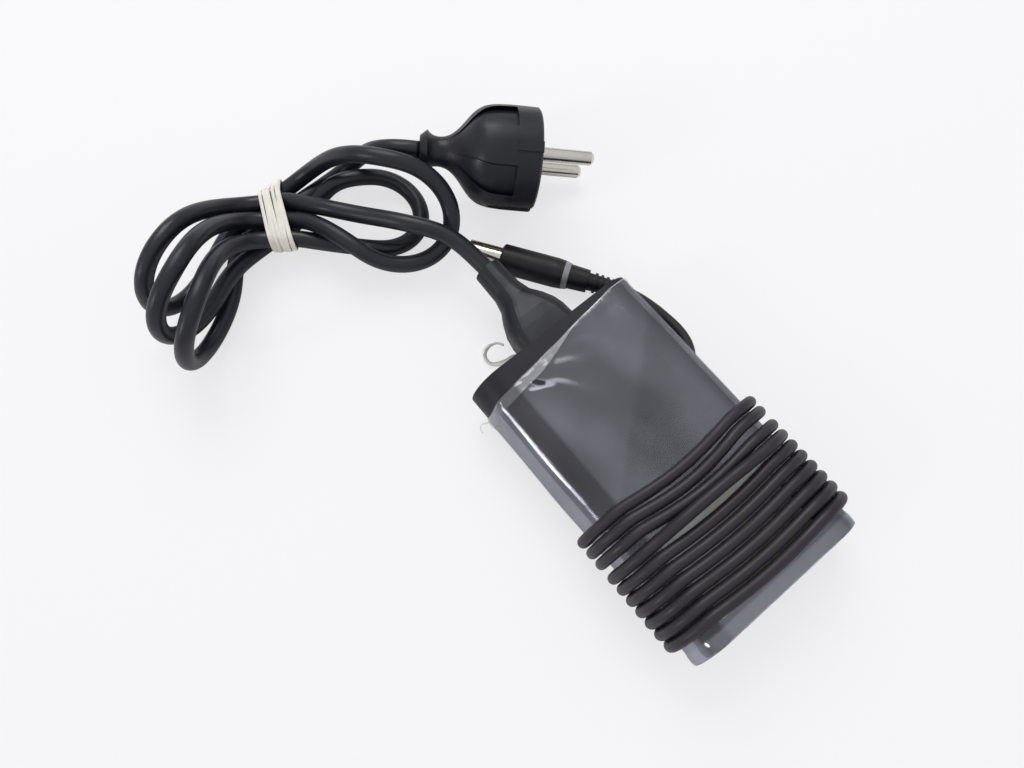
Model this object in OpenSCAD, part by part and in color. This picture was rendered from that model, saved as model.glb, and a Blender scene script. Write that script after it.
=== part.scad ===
// Laptop power adapter with its cords put away: a brick wound with its own
// output cord, and a mains lead folded into a banded hank.
// Millimetres, +Z up. The origin is the centre of the housing, +X points to its
// output end and -X to its mains inlet.

/* [Housing] */
// Length of the housing
body_l = 106; // [98:1:124]
// Width of the housing over its round sides
body_w = 66; // [62:1:80]
// Height of the housing
body_h = 22; // [21:0.5:24]
// Wall of the two shells
wall = 2.2; // [1.6:0.1:2.6]
// Height of the lip that keys the two shells
lip_h = 1.5; // [1:0.1:2]
// Thickness of that lip
lip_t = 0.8; // [0.6:0.1:1.2]
// Clearance between parts that fit into each other
fit_gap = 0.2; // [0.1:0.05:0.3]
// Thickness of the clear film on the housing
film_t = 0.2; // [0.1:0.05:0.25]
// Bare housing beyond the film, on the far side of the inlet end
film_inset_far = 1; // [0.5:0.5:4]
// Bare housing beyond the film, on the near side of the inlet end
film_inset_near = 9; // [5:0.5:14]
// Length of the rating label
label_l = 26; // [18:1:28]
// Width of the rating label
label_w = 40; // [30:1:44]
// Distance from the output end to the label
label_inset = 6; // [4:0.5:10]
// Thickness of the label
label_t = 0.1; // [0.08:0.01:0.12]

/* [Mains inlet] */
// Width of the inlet moulding
inlet_w = 20; // [18:0.5:22]
// Height of the inlet moulding
inlet_h = 15.4; // [15:0.1:16.4]
// Depth of the inlet moulding
inlet_l = 15; // [14.5:0.5:18]
// Radius of each lobe of the three-lobed plug-in tongue
lobe_r = 3.3; // [3:0.1:3.5]
// Distance of each lobe's contact from the middle
lobe_reach = 3.6; // [3.4:0.1:3.8]
// Length of the tongue that plugs into the inlet
tongue_l = 12; // [10:0.5:12.5]
// Radius of the inlet's contact pins
contact_r = 1.2; // [1:0.05:1.3]
// Length of a contact pin inside the socket
contact_l = 9; // [7:0.5:9.5]

/* [Circuit board] */
// Thickness of the board
board_t = 1.6; // [1.2:0.1:2]
// Height of the bosses under the board
boss_h = 2.2; // [1.8:0.1:2.6]
// Radius of the bosses under the board
boss_r = 2.5; // [2:0.1:3]
// Thickness of the insulation sheet under the board
sheet_t = 0.4; // [0.3:0.1:0.6]
// Length of the transformer core
core_l = 28; // [24:1:30]
// Width of the transformer core
core_w = 24; // [20:1:26]
// Length of the high-voltage capacitor
bulk_l = 28; // [24:1:30]
// Radius of the low-voltage capacitors
can_r = 3.5; // [3:0.25:3.75]
// Thickness of the heat-sink plates
sink_t = 1.5; // [1:0.1:2]
// Room left above the tall parts on the board
top_room = 1.3; // [1:0.1:1.8]

/* [Output cord] */
// Diameter of the output cord
cord_d = 3.8; // [3.6:0.1:3.8]
// Space between the cord and the housing
wind_gap = 0.4; // [0.4:0.05:0.6]
// Number of turns round the housing
turns = 10; // [4:1:10]
// Distance from one turn to the next
pitch = 4.24; // [4.24:0.01:4.3]
// Place of the first turn along the housing
first_turn_x = 4.8; // [4:0.2:6]
// Depth of the flat where the turns lie on the table
flat_cut = 0.4; // [0.2:0.05:0.4]
// Radius of the bushing where the cord enters the housing
gland_r = 2.6; // [2.5:0.1:2.8]
// Length of that bushing
gland_l = 8; // [6:0.5:9]

/* [Output plug] */
// Radius of the light ring
ring_r = 5.1; // [5:0.05:5.2]
// Width of the light ring
ring_w = 2; // [1.5:0.1:2.5]
// Length of the plug body between ring and barrel
dc_body_l = 23; // [18:0.5:24]
// Radius of the plug body
dc_body_r = 5.35; // [5.25:0.05:5.5]
// Radius of the barrel
barrel_r = 3.7; // [2.7:0.05:3.7]
// Wall of the barrel
barrel_wall = 0.35; // [0.3:0.05:0.5]
// Length of the barrel outside the body
barrel_l = 12; // [9:0.5:12]
// Radius of the centre pin
dc_pin_r = 0.5; // [0.4:0.05:0.6]
// Length of the collar behind the ring
collar_l = 7; // [5:0.5:8]
// Radius of the collar
collar_r = 4.4; // [4.2:0.1:4.6]
// Number of ribs on the strain relief
ribs = 5; // [3:1:6]

/* [Mains connector] */
// Width of the connector at the housing
grip_w = 22; // [20:0.5:22]
// Thickness of the connector at the housing
grip_h = 16; // [15:0.5:16]
// Diameter of its strain relief
relief_d = 10; // [9:0.5:10]
// Length of the connector outside the housing
grip_l = 32.5; // [32.5:0.5:34]
// How far the connector is pulled to free it
pull = 12.5; // [12.5:0.5:13]

/* [Mains lead] */
// Diameter of the mains cord
lead_d = 6; // [5.5:0.1:6]
// Thickness of the rubber band
band_t = 0.5; // [0.4:0.1:0.6]
// Width of the rubber band
band_w = 7; // [5:0.5:8]

/* [Mains plug] */
// Radius of the plug head
head_r = 18; // [17.5:0.25:18]
// Length from the collar to the face
plug_l = 40.8; // [39.8:0.2:42]
// Radius of the round pins
pin_r = 2.4; // [2:0.1:2.4]
// Length of the pins outside the face
pin_l = 19; // [17:0.5:19]
// Distance between the two pins
pin_span = 19; // [18:0.5:20]
// Length of the pins inside the body
pin_root = 14; // [10:0.5:16]
// Radius of the earth socket
socket_r = 2.45; // [2.4:0.05:2.6]
// Depth of the earth socket
socket_l = 16; // [14:0.5:18]
// Distance of the earth socket from the middle of the face
socket_offset = 10; // [9.5:0.25:10.5]
// Thickness of the earth clips
clip_t = 0.8; // [0.6:0.1:1]
// Width of the earth clips
clip_w = 6; // [5:0.5:7]
// Length of the earth clips
clip_l = 16; // [10:0.5:16]
// Depth of the finger recesses
grip_depth = 1.6; // [1:0.1:2]

/* [Hidden] */
$fn = 64;
eps = 0.01;
seat_gap = 0.05;
side_r = body_h / 2;
flat_y = body_w / 2 - side_r;
end_x = body_l / 2;
inner_r = side_r - wall;
film_gap = label_t + 0.02;
cord_r = cord_d / 2;
wind_r = side_r + wind_gap + cord_r;
floor_z = -(side_r + wind_gap + cord_d - flat_cut);
lead_r = lead_d / 2;

// Board level and what stands on it
board_z = -inner_r + boss_h;
deck_z = board_z + board_t;
sheet_gap = 0.1;
sheet_z = board_z - sheet_gap - sheet_t;
part_h = inner_r - deck_z - top_room;
board_half = flat_y + sqrt(inner_r ^ 2 - sheet_z ^ 2) - fit_gap;
boss_inset = 6;
can_room = 0.5;

// Trough in the underside that leads the cord up into the housing
gland_flange_r = gland_r + 0.5;
trough_w = cord_d + 2.8;
trough_x = end_x - wall - gland_flange_r - seat_gap;
trough_wall = 1.4;
trough_y0 = -2;
trough_y1 = 18.5;
gland_z = -inner_r + gland_flange_r + seat_gap;
gland_y = trough_y0 + 0.6;
trough_top = gland_z + cord_r + 0.4;

// Ends of the board and of the stretch where its parts stand
board_x0 = -end_x + wall + 7.3;
board_x1 = trough_x - trough_w / 2 - trough_wall - 2.4;
notch_x = -end_x + inlet_l + 4;
deck_x0 = notch_x + 2;

// Output plug: it lies on the table beside the mains connector
dc_ring_at = [-70.2, 22.9, floor_z + dc_body_r];
dc_heading = 214;
dc_relief_l = 11.3;

// Mains plug: it leans on the rim of its head
plug_face_at = [-107.5, 38.9, floor_z + 17.8];
plug_roll = 19;
plug_tip_down = 9.7;
plug_heading = 50.8;
plug_neck_r = 5.15;
flange_r = 7.1;
flange_l = 2.4;

// Connector
tongue_x = -end_x + tongue_l;
grip_x = -end_x - 0.3;
relief_x = grip_x - grip_l;

// ---------------------------------------------------------------- helpers

function unit(v) = v / norm(v);
function flat_heading(a) = [cos(a), sin(a), 0];
function run_of(p) = [for (i = [0:len(p) - 2]) norm(p[i + 1] - p[i])];

// One point of the smooth curve from p0 to p1 with end tangents m0 and m1
function hermite(p0, m0, p1, m1, t) =
    (2 * t ^ 3 - 3 * t ^ 2 + 1) * p0 + (t ^ 3 - 2 * t ^ 2 + t) * m0
    + (3 * t ^ 2 - 2 * t ^ 3) * p1 + (t ^ 3 - t ^ 2) * m1;

// A smooth curve through hand-set points, n steps to each stretch
function through(p, n) = concat(
    [for (i = [1:len(p) - 3], k = [0:n - 1])
        hermite(p[i], (p[i + 1] - p[i - 1]) / 2, p[i + 1], (p[i + 2] - p[i]) / 2, k / n)],
    [p[len(p) - 2]]);

// Direction of the path at each of its points; the ends are square to t0 and t1
function tangents(p, t0, t1) = [for (i = [0:len(p) - 1])
    i == 0 && !is_undef(t0) ? unit(t0)
    : i == len(p) - 1 && !is_undef(t1) ? unit(t1)
    : unit(p[min(i + 1, len(p) - 1)] - p[max(i - 1, 0)])];

// Path with its corners eased; its two rings at each end stay
function eased(p) = [for (i = [0:len(p) - 1])
    i < 2 || i > len(p) - 3 ? p[i] : (p[i - 1] + 6 * p[i] + p[i + 1]) / 8];

// A side vector carried along the path without twist
function carried(t, n0) = [for (
    i = 0, n = unit(n0 - (n0 * t[0]) * t[0]);
    i < len(t);
    i = i + 1, n = i < len(t) ? unit(n - (n * t[i]) * t[i]) : n) n];

// A tube of the given number of sides along path p, kept above the table. Its
// section is turned by that share of a side.
module tube(p, r, sides, n0, t0 = undef, t1 = undef, turned = 0.5) {
    t = tangents(p, t0, t1);
    side = carried(t, n0);
    rings = len(p);
    points = [for (i = [0:rings - 1], k = [0:sides - 1])
        let (a = 360 * (k + turned) / sides,
             q = p[i] + r * cos(a) * side[i] + r * sin(a) * cross(t[i], side[i]))
        [q.x, q.y, max(q.z, floor_z)]];
    skin = [for (i = [0:rings - 2], k = [0:sides - 1])
        let (a = i * sides + k, b = i * sides + (k + 1) % sides)
        each [[a, b, b + sides], [a, b + sides, a + sides]]];
    first = [for (k = [1:sides - 2]) [0, k + 1, k]];
    last = [for (k = [1:sides - 2])
        let (e = (rings - 1) * sides) [e, e + k, e + k + 1]];
    polyhedron(points, concat([for (f = skin) [f[0], f[2], f[1]]],
        [for (f = first) [f[0], f[2], f[1]]], [for (f = last) [f[0], f[2], f[1]]]));
}

// Least distance between the skins of two stretches of one path that are
// further than `away` apart along it
function least_gap(p, r, away) = let (
    d = run_of(p),
    s = [for (i = 0, a = 0; i < len(p); a = a + (i < len(d) ? d[i] : 0), i = i + 1) a])
    min([for (i = [0:len(p) - 1], j = [i + 1:1:len(p) - 1])
        if (s[j] - s[i] > away) norm(p[i] - p[j])]) - 2 * r;

// Points added between rings, so that the gap is measured closely
function finer(p, n) = concat([for (i = [0:len(p) - 2], k = [0:n - 1])
    p[i] + (p[i + 1] - p[i]) * k / n], [p[len(p) - 1]]);

function length_of(p) = let (d = run_of(p)) d * [for (x = d) 1];

// Outline with flat top and bottom and round sides, across the housing
module stadium(grow) {
    for (s = [-1, 1]) translate([s * flat_y, 0]) circle(side_r + grow);
    square([2 * flat_y, 2 * (side_r + grow)], center = true);
}

// Extrusion along X between two places
module along_x(x0, x1) {
    translate([x0, 0, 0]) rotate([90, 0, 90]) linear_extrude(x1 - x0) children();
}

module box(lo, hi) {
    translate(lo) cube(hi - lo);
}

// Rounded rectangle across X
module rounded(w, h, r) {
    square([w - 2 * r, h], center = true);
    square([w, h - 2 * r], center = true);
    for (sx = [-1, 1], sy = [-1, 1])
        translate([sx * (w / 2 - r), sy * (h / 2 - r)]) circle(r);
}

// ---------------------------------------------------------------- housing

module shell_body() {
    difference() {
        along_x(-end_x, end_x) stadium(0);
        along_x(-end_x + wall, end_x - wall) stadium(-wall);
        // opening for the mains inlet
        box([-end_x - 1, -inlet_w / 2 - fit_gap, -inlet_h / 2 - fit_gap],
            [-end_x + wall + 1, inlet_w / 2 + fit_gap, inlet_h / 2 + fit_gap]);
    }
}

// Moulded walls of the trough, inside the bottom shell
module trough_block() {
    intersection() {
        box([trough_x - trough_w / 2 - trough_wall, trough_y0 - trough_wall, -side_r],
            [end_x - eps, trough_y1 + trough_wall, trough_top + trough_wall]);
        along_x(-end_x, end_x) stadium(-eps);
    }
}

module top_shell() {
    color([0.23, 0.23, 0.25]) difference() {
        shell_body();
        box([-body_l, -body_w, -body_h], [body_l, body_w, 0]);
    }
}

// Rim inside the bottom shell: its foot is one with the wall, its top stands
// clear of the top shell's wall
module lip() {
    lip_x = end_x - wall - fit_gap;
    lip_y = flat_y + inner_r - 2 * fit_gap;
    foot = 3 * fit_gap;
    difference() {
        union() {
            box([-lip_x, -lip_y, -1], [lip_x, lip_y, lip_h]);
            box([-lip_x - foot, -lip_y - foot, -1], [lip_x + foot, lip_y + foot, 0]);
        }
        box([-lip_x + lip_t, -lip_y + lip_t, -2], [lip_x - lip_t, lip_y - lip_t, lip_h + 1]);
        box([-body_l, -inlet_w / 2 - 1, -2], [-lip_x + lip_t + 1, inlet_w / 2 + 1, lip_h + 1]);
    }
}

// The four places where the board is held
module at_bosses() {
    for (x = [board_x0 + boss_inset, board_x1 - boss_inset], sy = [-1, 1])
        translate([x, sy * (board_half - boss_inset), 0]) children();
}

module bottom_shell() {
    color([0.2, 0.2, 0.22]) difference() {
        union() {
            difference() {
                shell_body();
                box([-body_l, -body_w, 0], [body_l, body_w, body_h]);
            }
            lip();
            trough_block();
            at_bosses() translate([0, 0, -inner_r - 1]) cylinder(r = boss_r, h = boss_h + 1);
        }
        box([trough_x - trough_w / 2, trough_y0, -body_h],
            [trough_x + trough_w / 2, trough_y1, trough_top]);
        translate([trough_x, trough_y0 + 1, gland_z]) rotate([90, 0, 0])
            cylinder(r = gland_r + seat_gap, h = trough_wall + 3);
    }
}

// Clear film: a sleeve round the housing, cut slantwise at the inlet end
module film_wrap() {
    slant = atan((film_inset_near - film_inset_far) / body_w);
    color([0.75, 0.77, 0.8, 0.35]) difference() {
        along_x(-end_x, end_x) stadium(film_gap + film_t);
        along_x(-body_l, body_l) stadium(film_gap);
        translate([-end_x + film_inset_near, -body_w / 2, 0]) rotate([0, 0, slant])
            box([-body_l, -body_w, -body_h], [0, 2 * body_w, body_h]);
        // the trough stays open
        box([trough_x - trough_w / 2, trough_y0, -body_h],
            [trough_x + trough_w / 2, trough_y1, trough_top]);
    }
}

// The label lies on the flat top, under the film
module rating_label() {
    color([0.74, 0.77, 0.7])
        translate([end_x - label_inset - label_l, -label_w / 2, side_r])
        cube([label_l, label_w, label_t]);
}

// ---------------------------------------------------------------- mains inlet

// Three-lobed outline of the tongue, across X
module tongue_outline(grow) {
    for (a = [90, 210, 330]) rotate(a) translate([lobe_reach, 0]) circle(lobe_r + grow);
    circle(lobe_reach + grow, $fn = 48);
}

module ac_inlet() {
    color([0.1, 0.1, 0.11]) difference() {
        box([-end_x, -inlet_w / 2, -inlet_h / 2], [-end_x + inlet_l, inlet_w / 2, inlet_h / 2]);
        along_x(-end_x - 1, tongue_x + fit_gap) tongue_outline(fit_gap);
        for (a = [90, 210, 330]) along_x(tongue_x - 1, body_l)
            rotate(a) translate([lobe_reach, 0]) circle(contact_r + seat_gap);
    }
}

module inlet_pins() {
    color([0.8, 0.79, 0.75]) for (a = [90, 210, 330])
        along_x(tongue_x + fit_gap - contact_l, -end_x + inlet_l + 3)
        rotate(a) translate([lobe_reach, 0]) circle(contact_r);
}

// ---------------------------------------------------------------- circuit

module circuit_board() {
    color([0.55, 0.45, 0.25]) difference() {
        box([board_x0, -board_half, board_z], [board_x1, board_half, deck_z]);
        // notch behind the inlet moulding
        box([-body_l, -inlet_w / 2 - 1, board_z - 1],
            [notch_x, inlet_w / 2 + 1, deck_z + 1]);
    }
}

// Sheet under the board, with a hole for each boss
module insulation_sheet() {
    color([0.85, 0.8, 0.6]) difference() {
        box([board_x0, -board_half, sheet_z],
            [board_x1, board_half, board_z - sheet_gap]);
        at_bosses() translate([0, 0, -body_h]) cylinder(r = boss_r + fit_gap, h = body_h);
        box([-body_l, -inlet_w / 2 - 1, -body_h], [notch_x, inlet_w / 2 + 1, 0]);
    }
}

core_x = (deck_x0 + board_x1) / 2 - 2;
core_y = -4;
leg_t = 4.5;
leg_foot = 3;

// Core frame with a middle leg that the coil goes round
module transformer_core() {
    color([0.16, 0.16, 0.17]) translate([core_x, core_y, deck_z]) union() {
        difference() {
            box([-core_l / 2, -core_w / 2, 0], [core_l / 2, core_w / 2, part_h]);
            box([-core_l / 2 + leg_t, -core_w / 2 + leg_t, -1],
                [core_l / 2 - leg_t, core_w / 2 - leg_t, part_h + 1]);
        }
        box([-core_l / 2 + 1, -leg_t / 2, leg_foot],
            [core_l / 2 - 1, leg_t / 2, part_h - leg_foot]);
    }
}

module transformer_coil() {
    color([0.9, 0.78, 0.25]) translate([core_x, core_y, deck_z]) difference() {
        box([-core_l / 2 + leg_t + fit_gap, -core_w / 2 + leg_t + fit_gap, 0],
            [core_l / 2 - leg_t - fit_gap, core_w / 2 - leg_t - fit_gap, part_h - 0.5]);
        box([-core_l, -leg_t / 2 - fit_gap, leg_foot - fit_gap],
            [core_l, leg_t / 2 + fit_gap, part_h - leg_foot + fit_gap]);
    }
}

// It lies along the far edge of the board
module bulk_capacitor() {
    bulk_r = part_h / 2;
    bulk_inset = 2.8;
    color([0.12, 0.14, 0.2])
        translate([deck_x0, board_half - bulk_r - bulk_inset, deck_z + bulk_r]) rotate([0, 90, 0])
        cylinder(r = bulk_r, h = bulk_l);
}

module output_capacitors() {
    can_h = part_h - can_room;
    can_gap = 1.5;
    can_step = 2 * can_r + can_gap;
    can_inset_x = 6.5;
    can_inset_y = 9;
    slot_w = 0.4;
    slot_depth = 0.3;
    color([0.15, 0.2, 0.3]) for (i = [0:2])
        translate([board_x1 - can_inset_x, can_inset_y - board_half + i * can_step, deck_z])
        difference() {
            cylinder(r = can_r, h = can_h);
            // pressure relief slots
            for (a = [0, 90]) rotate(a)
                box([-can_r / 2, -slot_w / 2, can_h - slot_depth],
                    [can_r / 2, slot_w / 2, can_h + 1]);
        }
}

// Wound ring; the small parts of the input side follow it across the board
choke_wire_r = 3;
choke_ring_r = 5;
choke_r = choke_ring_r + choke_wire_r;
choke_y = 11 - board_half;
filter_y = choke_y + choke_r + 2;
filter_w = 8;
fuse_r = 2;

module filter_choke() {
    color([0.7, 0.42, 0.2]) translate([deck_x0 + choke_r, choke_y, deck_z + choke_wire_r])
        rotate_extrude() translate([choke_ring_r, 0]) circle(choke_wire_r);
}

module filter_capacitor() {
    color([0.85, 0.7, 0.2]) translate([deck_x0, filter_y, deck_z])
        cube([12, filter_w, part_h - 2.5]);
}

module fuse() {
    color([0.2, 0.35, 0.25])
        translate([deck_x0, filter_y + filter_w + 2.5 + fuse_r, deck_z + fuse_r])
        rotate([0, 90, 0]) cylinder(r = fuse_r, h = 7);
}

// Angle plate: it stands on its foot
sink_l = 26;
sink_foot = 5;
module sink(x, y) {
    translate([x, y, deck_z]) union() {
        cube([sink_l, sink_t, part_h - can_room]);
        cube([sink_l, sink_foot, sink_t]);
    }
}

primary_at = [core_x - 16, 1 - board_half];
secondary_at = [core_x + 8, board_half - 7];

module primary_heat_sink() {
    color([0.7, 0.71, 0.73]) sink(primary_at.x, primary_at.y);
}

module secondary_heat_sink() {
    color([0.7, 0.71, 0.73]) sink(secondary_at.x, secondary_at.y);
}

// Flat-backed package against its heat sink, clear of the sink's foot
package_t = 4.4;
package_x = 8;
module power_package(x, y) {
    color([0.1, 0.1, 0.1]) translate([x + package_x, y, deck_z + sink_t])
        cube([10, package_t, 8.5]);
}

module switch_transistor() {
    power_package(primary_at.x, primary_at.y + sink_t);
}

module output_rectifier() {
    power_package(secondary_at.x, secondary_at.y - package_t);
}

// ---------------------------------------------------------------- output cord

module dc_gland() {
    color([0.12, 0.12, 0.13]) translate([trough_x, gland_y, gland_z])
        rotate([90, 0, 0]) union() {
            cylinder(r = gland_r, h = gland_l);
            translate([0, 0, trough_wall + 0.8]) cylinder(r = gland_flange_r, h = 1.5);
        }
}

// A turn has 24 rings: 8 round each side, 4 along the top and 4 underneath
function turn_y(i) =
    i <= 8 ? -flat_y - wind_r * sin(22.5 * i)
    : i <= 12 ? -flat_y + 2 * flat_y * (i - 8) / 4
    : i <= 20 ? flat_y + wind_r * sin(22.5 * (i - 12))
    : flat_y - 2 * flat_y * (i - 20) / 4;
function turn_z(i) =
    i <= 8 ? -wind_r * cos(22.5 * i)
    : i <= 12 ? wind_r
    : i <= 20 ? wind_r * cos(22.5 * (i - 12))
    : -wind_r;

// The turns lie a pitch apart; a wider step sets off the later ones, and on the
// far side it comes a turn earlier
wide_step = 1.4;
wide_step_turn = 3;
far_side_lead = 0.6;
function near_x(t) = first_turn_x + pitch * t + (t >= wide_step_turn ? wide_step : 0);
function far_x(t) = first_turn_x + far_side_lead + pitch * t
    + (t >= wide_step_turn - 1 ? wide_step : 0);

// On top the turns bow towards the output end, and the turn after the wide
// step rides up on its neighbour
bow = [2, 2.6, 2.1, -0.4];
later_bow = 1.2;
ride_up = 3.5;
function bow_of(t) = t < len(bow) ? bow[t] : later_bow;
function turn_x(t, i) =
    i <= 8 ? near_x(t)
    : i <= 12 ? near_x(t) + (far_x(t) - near_x(t)) * (i - 8) / 4 + bow_of(t) * sin(45 * (i - 8))
    : i <= 20 ? far_x(t)
    : far_x(t) + (near_x(t + 1) - far_x(t)) * (i - 20) / 4;
function lift(t, i) = t != wide_step_turn ? 0
    : i > 8 && i < 12 ? ride_up
    : i == 12 ? 0.45 * ride_up : 0;

// Where the free stretch of the cord passes to the winding, under the housing
wind_start = [-10.5, flat_y, -wind_r];
wind_lead_in = [for (k = [0:3])
    wind_start + ([near_x(0), -flat_y, -wind_r] - wind_start) * k / 4];
wind_turns = [for (t = [0:turns - 1], i = [0:(t < turns - 1 ? 23 : 20)])
    [turn_x(t, i), turn_y(i), turn_z(i) + lift(t, i)]];
wind_lead_out = [
    [trough_x - 2.1, 18, -wind_r + 0.4],
    [trough_x - 0.7, 14, -wind_r + 1.9],
    [trough_x - 0.1, 10, -wind_r + 3.9],
    [trough_x, 6, -wind_r + 5.9],
    [trough_x, gland_y + cord_d, gland_z],
    [trough_x, gland_y, gland_z]
];
wind_path = concat(wind_lead_in, wind_turns, wind_lead_out);

module dc_cord_winding() {
    echo(winding_least_gap = least_gap(finer(wind_path, 4), cord_r, 3 * cord_d),
         winding_length = length_of(wind_path));
    color([0.25, 0.25, 0.27]) tube(wind_path, cord_r, 6, [1, 0, 0], turned = 0);
}

// Free stretch from the output plug round to the underside, on the table
tail_z = floor_z + cord_r;
tail_start = dc_ring_at - (collar_l + ring_w / 2 + dc_relief_l) * flat_heading(dc_heading);
tail_points = [
    tail_start + 8 * flat_heading(dc_heading),
    tail_start,
    [-49.5, 36.8, floor_z + 4.2],
    [-43.5, 39.3, floor_z + 2.6],
    [-37, 40.6, tail_z],
    [-30, 41, tail_z],
    [-24, 39.8, tail_z],
    [-19, 36.4, tail_z],
    [-15, 31, tail_z],
    wind_start,
    wind_lead_in[1]
];
tail_path = through(tail_points, 2);

module dc_cord_tail() {
    echo(tail_length = length_of(tail_path));
    color([0.25, 0.25, 0.27]) tube(tail_path, cord_r, 8, [0, 0, 1],
        -flat_heading(dc_heading), wind_lead_in[1] - wind_start);
}

// ---------------------------------------------------------------- output plug

// Frame of the output plug: +Z here runs towards its tip
module dc_place() {
    translate(dc_ring_at) rotate([0, 90, dc_heading]) children();
}

barrel_root = ring_w / 2 + dc_body_l;
barrel_step = 0.5;
bore_r = barrel_r - barrel_wall;
insulator_wall = 0.8;
barrel_depth = 6;

module dc_plug_light_ring() {
    color([0.75, 0.76, 0.78]) dc_place() translate([0, 0, -ring_w / 2])
        cylinder(r1 = ring_r - 0.4, r2 = ring_r, h = ring_w);
}

module dc_plug_body() {
    color([0.13, 0.13, 0.14]) dc_place() difference() {
        rotate_extrude() polygon([
            [0, ring_w / 2], [ring_r, ring_w / 2], [dc_body_r, ring_w / 2 + 3],
            [dc_body_r, barrel_root - 0.6], [dc_body_r - 0.6, barrel_root], [0, barrel_root]]);
        translate([0, 0, barrel_root - barrel_depth])
            cylinder(r = barrel_r + barrel_step + seat_gap, h = barrel_depth + 1);
    }
}

module dc_plug_barrel() {
    color([0.78, 0.76, 0.72]) dc_place()
        translate([0, 0, barrel_root - barrel_depth]) difference() {
            union() {
                cylinder(r = barrel_r + barrel_step, h = barrel_depth);
                translate([0, 0, barrel_depth]) cylinder(r = barrel_r, h = barrel_l);
            }
            translate([0, 0, -1]) cylinder(r = bore_r, h = barrel_l + barrel_depth + 2);
        }
}

module dc_plug_insulator() {
    color([0.08, 0.08, 0.09]) dc_place()
        translate([0, 0, barrel_root - barrel_depth]) difference() {
            cylinder(r = bore_r - seat_gap, h = barrel_l + barrel_depth - 0.4);
            translate([0, 0, barrel_depth - 1])
                cylinder(r = bore_r - insulator_wall, h = barrel_l + 2);
            translate([0, 0, -1]) cylinder(r = dc_pin_r + seat_gap, h = barrel_depth + 2);
        }
}

module dc_plug_centre_pin() {
    color([0.78, 0.76, 0.72]) dc_place() translate([0, 0, barrel_root - barrel_depth])
        cylinder(r = dc_pin_r, h = barrel_l + barrel_depth - 3);
}

module dc_plug_collar() {
    color([0.13, 0.13, 0.14]) dc_place() translate([0, 0, -ring_w / 2 - collar_l])
        cylinder(r1 = collar_r - 0.3, r2 = collar_r, h = collar_l);
}

// Ribs round a tapering core that grips the cord
module dc_plug_strain_relief() {
    rib_step = dc_relief_l / (ribs + 0.5);
    color([0.13, 0.13, 0.14]) dc_place()
        translate([0, 0, -ring_w / 2 - collar_l - dc_relief_l]) union() {
            cylinder(r1 = cord_r + 0.6, r2 = collar_r - 1.2, h = dc_relief_l);
            for (k = [0:ribs - 1]) translate([0, 0, k * rib_step])
                cylinder(r = cord_r + 1.1 + (collar_r - cord_r - 1.7) * k / ribs,
                         h = rib_step * 0.5);
        }
}

// ---------------------------------------------------------------- mains connector

// A thin slice of the connector, rounded, across X
module grip_slice(x, w, h, r) {
    along_x(x - eps, x) rounded(w, h, min(r, h / 2 - 0.1, w / 2 - 0.1), $fn = 32);
}

// Shoulders that narrow from the face to the strain relief
grip_slices = [
    [0, grip_w, grip_h, 4], [-5.5, grip_w, grip_h, 5], [-9.5, grip_w - 1.2, grip_h - 0.4, 6],
    [-13.5, 17.4, 14.2, 6], [-17.5, 12.8, 12, 5.7], [-22, relief_d + 0.6, relief_d + 0.6, 5],
    [-grip_l, relief_d, relief_d, relief_d / 2]
];

module connector_body() {
    color([0.16, 0.17, 0.2]) difference() {
        union() {
            for (i = [0:len(grip_slices) - 2]) hull() {
                a = grip_slices[i];
                b = grip_slices[i + 1];
                grip_slice(grip_x + a[0], a[1], a[2], a[3]);
                grip_slice(grip_x + b[0] + (i == 5 ? eps : 0), b[1], b[2], b[3]);
            }
            along_x(grip_x - 1, tongue_x) tongue_outline(0);
        }
        for (a = [90, 210, 330]) along_x(tongue_x - contact_l - 1, tongue_x + 1)
            rotate(a) translate([lobe_reach, 0]) circle(contact_r + fit_gap + 0.5);
    }
}

// Spring sleeves that take the inlet's pins
module connector_contacts() {
    color([0.8, 0.7, 0.35]) for (a = [90, 210, 330])
        along_x(tongue_x - contact_l - 1, tongue_x - 0.5)
        rotate(a) translate([lobe_reach, 0]) difference() {
            circle(contact_r + fit_gap + 0.4);
            circle(contact_r + 0.1);
        }
}

// ---------------------------------------------------------------- mains lead

// Where the lead passes the band, and its heading there: three strands lie on
// top and three below them. Heights are above the table.
upper_z = lead_d * 1.5 + 2 * band_t + 0.3;
lower_z = lead_d / 2 + band_t + 0.3;
upper_a = [-157.5, -40.9, upper_z];
upper_b = [-149.5, -43.1, upper_z];
upper_c = [-143.1, -46.7, upper_z];
lower_a = [-163.1, -41.1, lower_z];
lower_b = [-149.3, -45.9, lower_z];
lower_c = [-156.4, -41.3, lower_z];
upper_a_heading = 59;
upper_b_heading = 50;
upper_c_heading = 54;
lower_a_heading = 92;
lower_b_heading = 92;
lower_c_heading = 92;
half_band = 4;

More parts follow.
